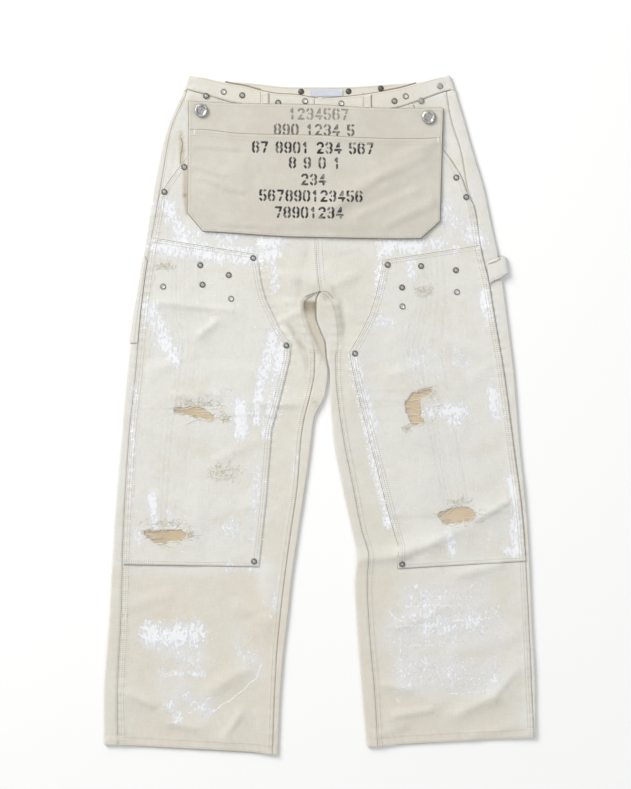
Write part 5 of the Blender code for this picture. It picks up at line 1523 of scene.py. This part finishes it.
def sewBand(name):
    side, plan, band = legs[name]["side"], seamPlan, ["waistband_" + name]
    x = np.linspace(cloth["centreFront"], side * plan["bandEnd"], 200)
    lines = [level(x, bandLower(x) + plan["bandLow"]), level(x, readCurve(waistTop, x) - plan["bandTop"])]
    x = np.linspace(side * plan["backEnds"][0], side * plan["backEnds"][1], 120)
    lines.append(level(x, readCurve(waistTop, x, 2) - plan["bandBack"]))
    sewn("stitches_band_" + name, lines, band)
    # painted shade above the front band's top edge, and in the gap to the back band
    shaded("seam_band_" + name, [level(x, readCurve(waistTop, x) + plan["backSeam"])], band, 1.0)
    x = np.linspace(side * plan["gapEnds"][0], side * plan["gapEnds"][1], 60)
    x = x[readCurve(waistTop, x, 2) - readCurve(waistTop, x) > plan["gapLeast"]]
    shaded("gap_band_" + name, [level(x, readCurve(waistTop, x) + plan["backGap"])], band, 1.7)
    if name == "right":
        x = np.linspace(side * plan["edgeEnds"][0], side * plan["edgeEnds"][1], 60)
        lines = [level(x, bandLower(x) - plan["bandEdge"])]
        starts, ends = cutUp(lines, edgeLook["pitch"], edgeLook["length"], 0.5)
        under = [part + name for part in ("front_", "pocket_facing_", "waistband_")]
        dashes("edge_band_" + name, starts, ends, under, edgeLook, thread)


def sewBeltLoop(name):
    middle, plan = smallLook["beltLoops"][name], seamPlan
    lines = beside(lambda y: y * 0 + middle, 482, 502, plan["loop"])
    tacks = [(middle, float(readCurve(waistTop, middle)) - plan["loopTack"], 0, 9, 3)]
    sewn("stitches_loop_" + name, lines, ["belt_loop_" + name], tacks)
    lines = beside(lambda y: y * 0 + middle, 480, 504, plan["loopEdge"])
    # painted shade beside the loop
    shaded("seam_loop_" + name, lines, ["waistband_" + name])


def sewApron():
    plan = seamPlan
    far, shadeGap = plan["apron"], plan["apronShadeGap"]
    lines = [insetLine(apronGrid[:, 0], -far), insetLine(apronGrid[:, -1], far),
             insetLine(apronGrid[0], far), insetLine(apronGrid[-1],
                                                     -plan["apronTop"])] + insets(pouchGrid[-1],
                                                                                  -plan["pouch"])
    sewn("stitches_apron", lines, ["apron", "apron_pouch"], apronTacks)
    # painted shade round the apron, and under the pouch's top edge
    below = [name for name in trees if not name.startswith("apron")]
    lines = [insetLine(apronGrid[:, 0], shadeGap), insetLine(apronGrid[:, -1], -shadeGap),
             insetLine(apronGrid[0], -shadeGap), insetLine(apronGrid[-1], shadeGap)]
    shaded("seam_apron", lines, below, 0.6)
    shaded("seam_pouch", [insetLine(pouchGrid[-1], shadeGap)], ["apron"], 0.6)


def sewSmallCloth():
    loop, tool = smallLook["loopGrid"], smallLook["toolGrid"]
    sewn("stitches_hammer_loop", [loop[2, :40], loop[-3, :40]], ["hammer_loop"], hammerTacks)
    # painted shade in the hammer loop's opening
    shaded("opening_hammer_loop", [polyline(hammerOpening, 16)], ["back_left", "hammer_loop"],
           1.15)
    sewn("stitches_tool_pocket", [tool[1:-3, 8], tool[1:-3, 14]], ["tool_pocket"], toolTacks)
    # painted shade under the tool pocket's edge
    shaded("seam_tool_pocket", [tool[-1, :, :2] + [[0, 0.6]]], ["back_right", "front_right"])
    x1, x2, y1, y2 = smallLook["label"]
    lines = [[(x, y1 + 1), (x, y2 - 1)] for x in (x1 + seamPlan["label"], x2 - seamPlan["label"])]
    sewn("stitches_label", lines, ["label"])


def buildStitches():
    for name in legs:
        for sew in (sewLeg, sewKnee, sewPocket, sewBand, sewBeltLoop):
            sew(name)
    sewApron()
    sewSmallCloth()


# Flecks of paint: tries over the leg and along its seams, where they lie, their turn and size
fleckLook = {"tries": 26000, "level": 0.26, "rows": 1500, "caught": 0.9, "across": (10, 335),
             "up": (-505, 330), "seamUp": (-230, 300), "inset": 5, "spread": 3.6, "turn": 0.5,
             "seamTurn": 0.35, "halfWide": (0.3, 0.95), "tall": 0.07, "ends": 0.0, "middle": 0.06,
             "taper": 0.55}
# Thin strokes: flecks a pitch apart, how they sway and which are kept
strokeLook = {"pitch": 1.3, "length": 3.0, "sway": 0.9, "swing": 0.31, "spread": 0.55, "kept": 0.62,
              "patchy": 0.9, "halfWide": (0.15, 0.6), "unbroken": 4}
# Loose yarns, as numbers, millimetres and radians
frayLook = {"threads": 120, "short": (1.5, 9), "long": (6, 24), "longShare": 0.16, "lean": 0.28,
            "root": (0.8, 3.0), "fuzz": 46, "fuzzSpread": 0.42, "fuzzTurn": 0.5, "fuzzReach": (2, 7),
            "thin": 0.22, "thick": 0.36, "lift": (0.02, 0.25, 0.45, 0.5, 0.4, 0.25),
            "taper": (1, 1, 1, 0.95, 0.85, 0.5), "bridging": 0.45, "specks": 1.7, "speckReach": (1.5, 5)}


def paintedLines(side, rng):
    # flecks that lie end to end along the thin strokes: starts, ends and half widths
    look, starts, ends, wide = strokeLook, [], [], []
    for half, line in paintLines:
        if line[0][0] * side > 0:
            a, b = cutUp([polyline(line, 30)] * 2, look["pitch"], look["length"], 0.5)
            ahead = (b - a) / np.linalg.norm(b - a, axis=1, keepdims=True)
            sway = look["sway"] * np.sin(np.arange(len(a)) * look["swing"] + half * 40)[:, None]
            shift = ahead[:, ::-1] * [[-1, 1]] * (sway + rng.normal(0, half * look["spread"], (len(a), 1)))
            patchy = look["patchy"] * rumple(fineRumple, 4 * a[:, 0], 4 * a[:, 1])
            kept = rng.random(len(a)) < look["kept"] + patchy
            kept |= len(line) > look["unbroken"]  # the long curve is unbroken
            starts.append((a + shift)[kept])
            ends.append((b + shift)[kept])
            wide.append(half * rng.uniform(*look["halfWide"], kept.sum()))
    return np.concatenate(starts), np.concatenate(ends), np.concatenate(wide)


def buildFlecks(name):
    # crisp flecks of paint: anywhere on a dab, and square to the seams where the rows of stitches catch it
    leg, look = legs[name], fleckLook
    side, count = leg["side"], look["tries"]
    rng = np.random.default_rng(61 + (side > 0))
    spots = np.stack([side * rng.uniform(*look["across"], count), rng.uniform(*look["up"], count)], 1)
    turn = rng.normal(math.pi / 2, look["turn"], count)
    for seam in (lambda y: outseam(leg, y), lambda y: readLine(leg["knee"], y)):
        y = rng.uniform(*look["seamUp"], look["rows"])
        x = seam(y) - side * look["inset"] + rng.normal(0, look["spread"], len(y))
        spots = np.concatenate([spots, np.stack([x, y], 1)])
        turn = np.concatenate([turn, rng.normal(0, look["seamTurn"], len(y))])
    chance = paintAt(spots[:, 0], spots[:, 1])
    chance[:count] *= look["level"] * (0.3 + 1.4 * (rumple(fineRumple, *spots[:count].T) > 0.1))
    chance[count:] *= look["caught"]
    taken = rng.random(len(spots)) < chance
    spots, turn = spots[taken], turn[taken]
    reach = rng.gamma(2.0, 0.75, len(spots))[:, None] + 0.5
    ahead = np.stack([np.cos(turn), np.sin(turn)], 1) * reach / 2
    wide = rng.uniform(*look["halfWide"], len(spots))
    lineStarts, lineEnds, lineWide = paintedLines(side, rng)
    starts, ends = np.concatenate([spots - ahead, lineStarts]), np.concatenate([spots + ahead, lineEnds])
    look = dict(look, wide=np.concatenate([wide, lineWide]))
    under = [part + name for part in ("front_", "knee_", "back_")]
    dashes("paint_flecks_" + name, starts, ends, under, look, driedPaint)


def ripYarns(outline, rng):
    # loose yarns from a rip's edge, mostly level, some right across: starts, middles, ends
    look = frayLook
    pick = rng.integers(0, len(outline), look["threads"])
    start, count = outline[pick], len(pick)
    towards = np.sign(outline.mean(0)[0] - start[:, 0] + rng.normal(0, 3, count))
    reach = rng.uniform(*look["short"], count)
    reach = reach + (rng.random(count) < look["longShare"]) * rng.uniform(*look["long"], count)
    lean = rng.normal(0, look["lean"], count)
    end = start + np.stack([towards * reach * np.cos(lean), reach * np.sin(lean)], 1)
    back = start - (end - start) / reach[:, None] * rng.uniform(*look["root"], count)[:, None]
    return back, (start + end) / 2 + rng.normal(0, 0.8, (count, 2)), end


def scuffYarns(spot, rng):
    # fuzz on a rubbed spot, mostly level: starts, middles, ends
    look, (x, y, wide, tall, _) = frayLook, spot
    count, spread = int(look["fuzz"] * wide / 16), look["fuzzSpread"]
    start = np.stack([x + rng.normal(0, wide * spread, count), y + rng.normal(0, tall * spread, count)], 1)
    turn = rng.normal(0, look["fuzzTurn"], count) + (rng.random(count) < 0.3) * 1.4
    end = start + np.stack([np.cos(turn), np.sin(turn)], 1) * rng.uniform(*look["fuzzReach"], count)[:, None]
    return start, (start + end) / 2 + rng.normal(0, 1.0, (count, 2)), end


def buildFrays(name):
    # each yarn is a curve of six points over whatever lies under it, lifted off it in the middle
    leg, look = legs[name], frayLook
    rng = np.random.default_rng(21 + (leg["side"] > 0))
    scuffs = [spot for spot in wearSpots if spot[0] * leg["side"] > 0]
    yarns = [ripYarns(rip["ragged"], rng) for rip in leg["rips"].values()]
    yarns += [scuffYarns(spot, rng) for spot in scuffs]
    starts, middles, ends = (np.concatenate(part)[:, None] for part in zip(*yarns))
    share = np.linspace(0, 1, 6)[None, :, None]
    flat = starts * (1 - share) ** 2 + 2 * middles * share * (1 - share) + ends * share**2
    under = ["knee_" + name, "front_" + name] + [key for key in trees if key.startswith("patch_" + name)]
    points, normals = dropOn(under, flat.reshape(-1, 2))
    points, normals = points.reshape(-1, 6, 3), normals.reshape(-1, 6, 3)
    good = ~np.isnan(points[..., 0]).any(1)
    points, normals = points[good], normals[good]
    height, held = points[..., 2], look["bridging"]
    points[..., 2] = np.maximum(height, (1 - held) * height + held * points[:, :1, 2])
    points[..., 2] += np.array(look["lift"]) * rng.uniform(0.5, 1.6, (len(points), 1))
    wide = rng.uniform(look["thin"], look["thick"], (len(points), 1)) * np.array(look["taper"])
    made, faces = tubes(points, wide, wide, normals, 3)
    meshFrom("frays_" + name, made, faces, thread)
    buildSpecks(name, [spot for spot in scuffs if spot[4] > 0.55], rng)


def buildSpecks(name, scuffs, rng):
    # painted shadows of broken yarns: short dark dashes at the rips' right ends and all over the most rubbed
    # spots
    spots = []
    for rip in legs[name]["rips"].values():
        outline = rip["ragged"]
        spots.append((*outline.mean(0), np.ptp(outline[:, 0]) / 2, np.ptp(outline[:, 1]) / 2, True))
    spots += [(*spot[:4], False) for spot in scuffs]
    starts = []
    for x, y, wide, tall, ripped in spots:
        count = int(wide * frayLook["specks"] * (0.7 if ripped else 1))
        turn = rng.normal(-0.1, 0.55, count) if ripped else rng.uniform(0, 2 * math.pi, count)
        far = rng.normal(1.12, 0.12, count) if ripped else np.abs(rng.normal(0, 0.6, count))
        starts.append(np.stack([x + np.cos(turn) * far * wide, y + np.sin(turn) * far * tall], 1))
    starts = np.concatenate(starts)
    lean = rng.normal(0, 0.5, len(starts))
    reach = rng.uniform(*frayLook["speckReach"], len(starts))[:, None]
    ends = starts + np.stack([np.cos(lean), np.sin(lean)], 1) * reach
    dashes("specks_" + name, starts, ends, ["knee_" + name], speckLook, paintedYarnShadow)


print("building the legs")
for legName in legs:
    buildLeg(legName)
    declareSheet(buildKnee(legName))
    buildFacing(legName)
    buildWaistband(legName)
apronGrid, pouchGrid = buildApron()
print("legs, waistband and apron built")
buildSmallCloth()
buildHardware()
for nodeName, finish in {"fly": canvas, "waist_button": silver}.items():
    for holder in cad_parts[nodeName].material_slots:
        holder.material = finish
print("small cloth, studs and buttons built")
buildStitches()
for legName in legs:
    buildFlecks(legName)
    buildFrays(legName)
print("stitches and frayed yarns built")

# The camera looks straight down, so that 1.56 mm of the laid cloth is one pixel of the photo's frame. Metres
view = {"distance": 3.2, "above": 0.006, "sensor": 36.0, "pixel": 0.00156, "frame": (631, 789),
        "middle": (320, 415), "floorHalf": 8, "floorDrop": 0.0006, "floorColour": (0.86, 0.86, 0.86)}


def buildView():
    wide, tall = view["frame"]
    x = (wide / 2 - view["middle"][0]) * view["pixel"]
    y = (view["middle"][1] - tall / 2) * view["pixel"]
    camera = bpy.data.cameras.new("camera")
    camera.sensor_width = view["sensor"]
    camera.lens = view["sensor"] * view["distance"] / (tall * view["pixel"])
    eye = bpy.data.objects.new("camera", camera)
    eye.location = (x, y, view["distance"] + view["above"])
    bpy.context.scene.collection.objects.link(eye)
    bpy.context.scene.camera = eye
    mesh = bpy.data.meshes.new("floor")
    half, drop = view["floorHalf"], view["floorDrop"]
    corners = [(-half, -half, -drop), (half, -half, -drop), (half, half, -drop), (-half, half, -drop)]
    mesh.from_pydata(corners, [], [(0, 1, 2, 3)])
    floor = bpy.data.objects.new("floor", mesh)
    finish = Finish("floor")
    finish.feed(finish.shader.inputs["Base Color"], view["floorColour"])
    finish.feed(finish.shader.inputs["Roughness"], 0.9)
    mesh.materials.append(finish.material)
    bpy.context.scene.collection.objects.link(floor)


# Area lights: place, size, power, colour; and the light all round
lights = {
    "key": ((-2.7, 2.6, 2.6), 2.2, 190.0, (1.0, 0.99, 0.97)),
    "fill": ((1.4, -0.9, 2.4), 2.4, 14.0, (0.96, 0.98, 1.0)),
}
roomLight = 0.58


def buildLights():
    for name, (place, size, power, colour) in lights.items():
        lamp = bpy.data.lights.new(name, "AREA")
        lamp.energy, lamp.size, lamp.color = power, size, colour
        holder = bpy.data.objects.new(name, lamp)
        holder.location = place
        holder.rotation_euler = (-Vector(place)).to_track_quat("-Z", "Y").to_euler()
        bpy.context.scene.collection.objects.link(holder)
    world = bpy.data.worlds.new("studio")
    world.use_nodes = True
    world.node_tree.nodes["Background"].inputs["Color"].default_value = (1, 1, 1, 1)
    world.node_tree.nodes["Background"].inputs["Strength"].default_value = roomLight
    bpy.context.scene.world = world
    bpy.context.scene.view_settings.view_transform = "Standard"


buildView()
buildLights()
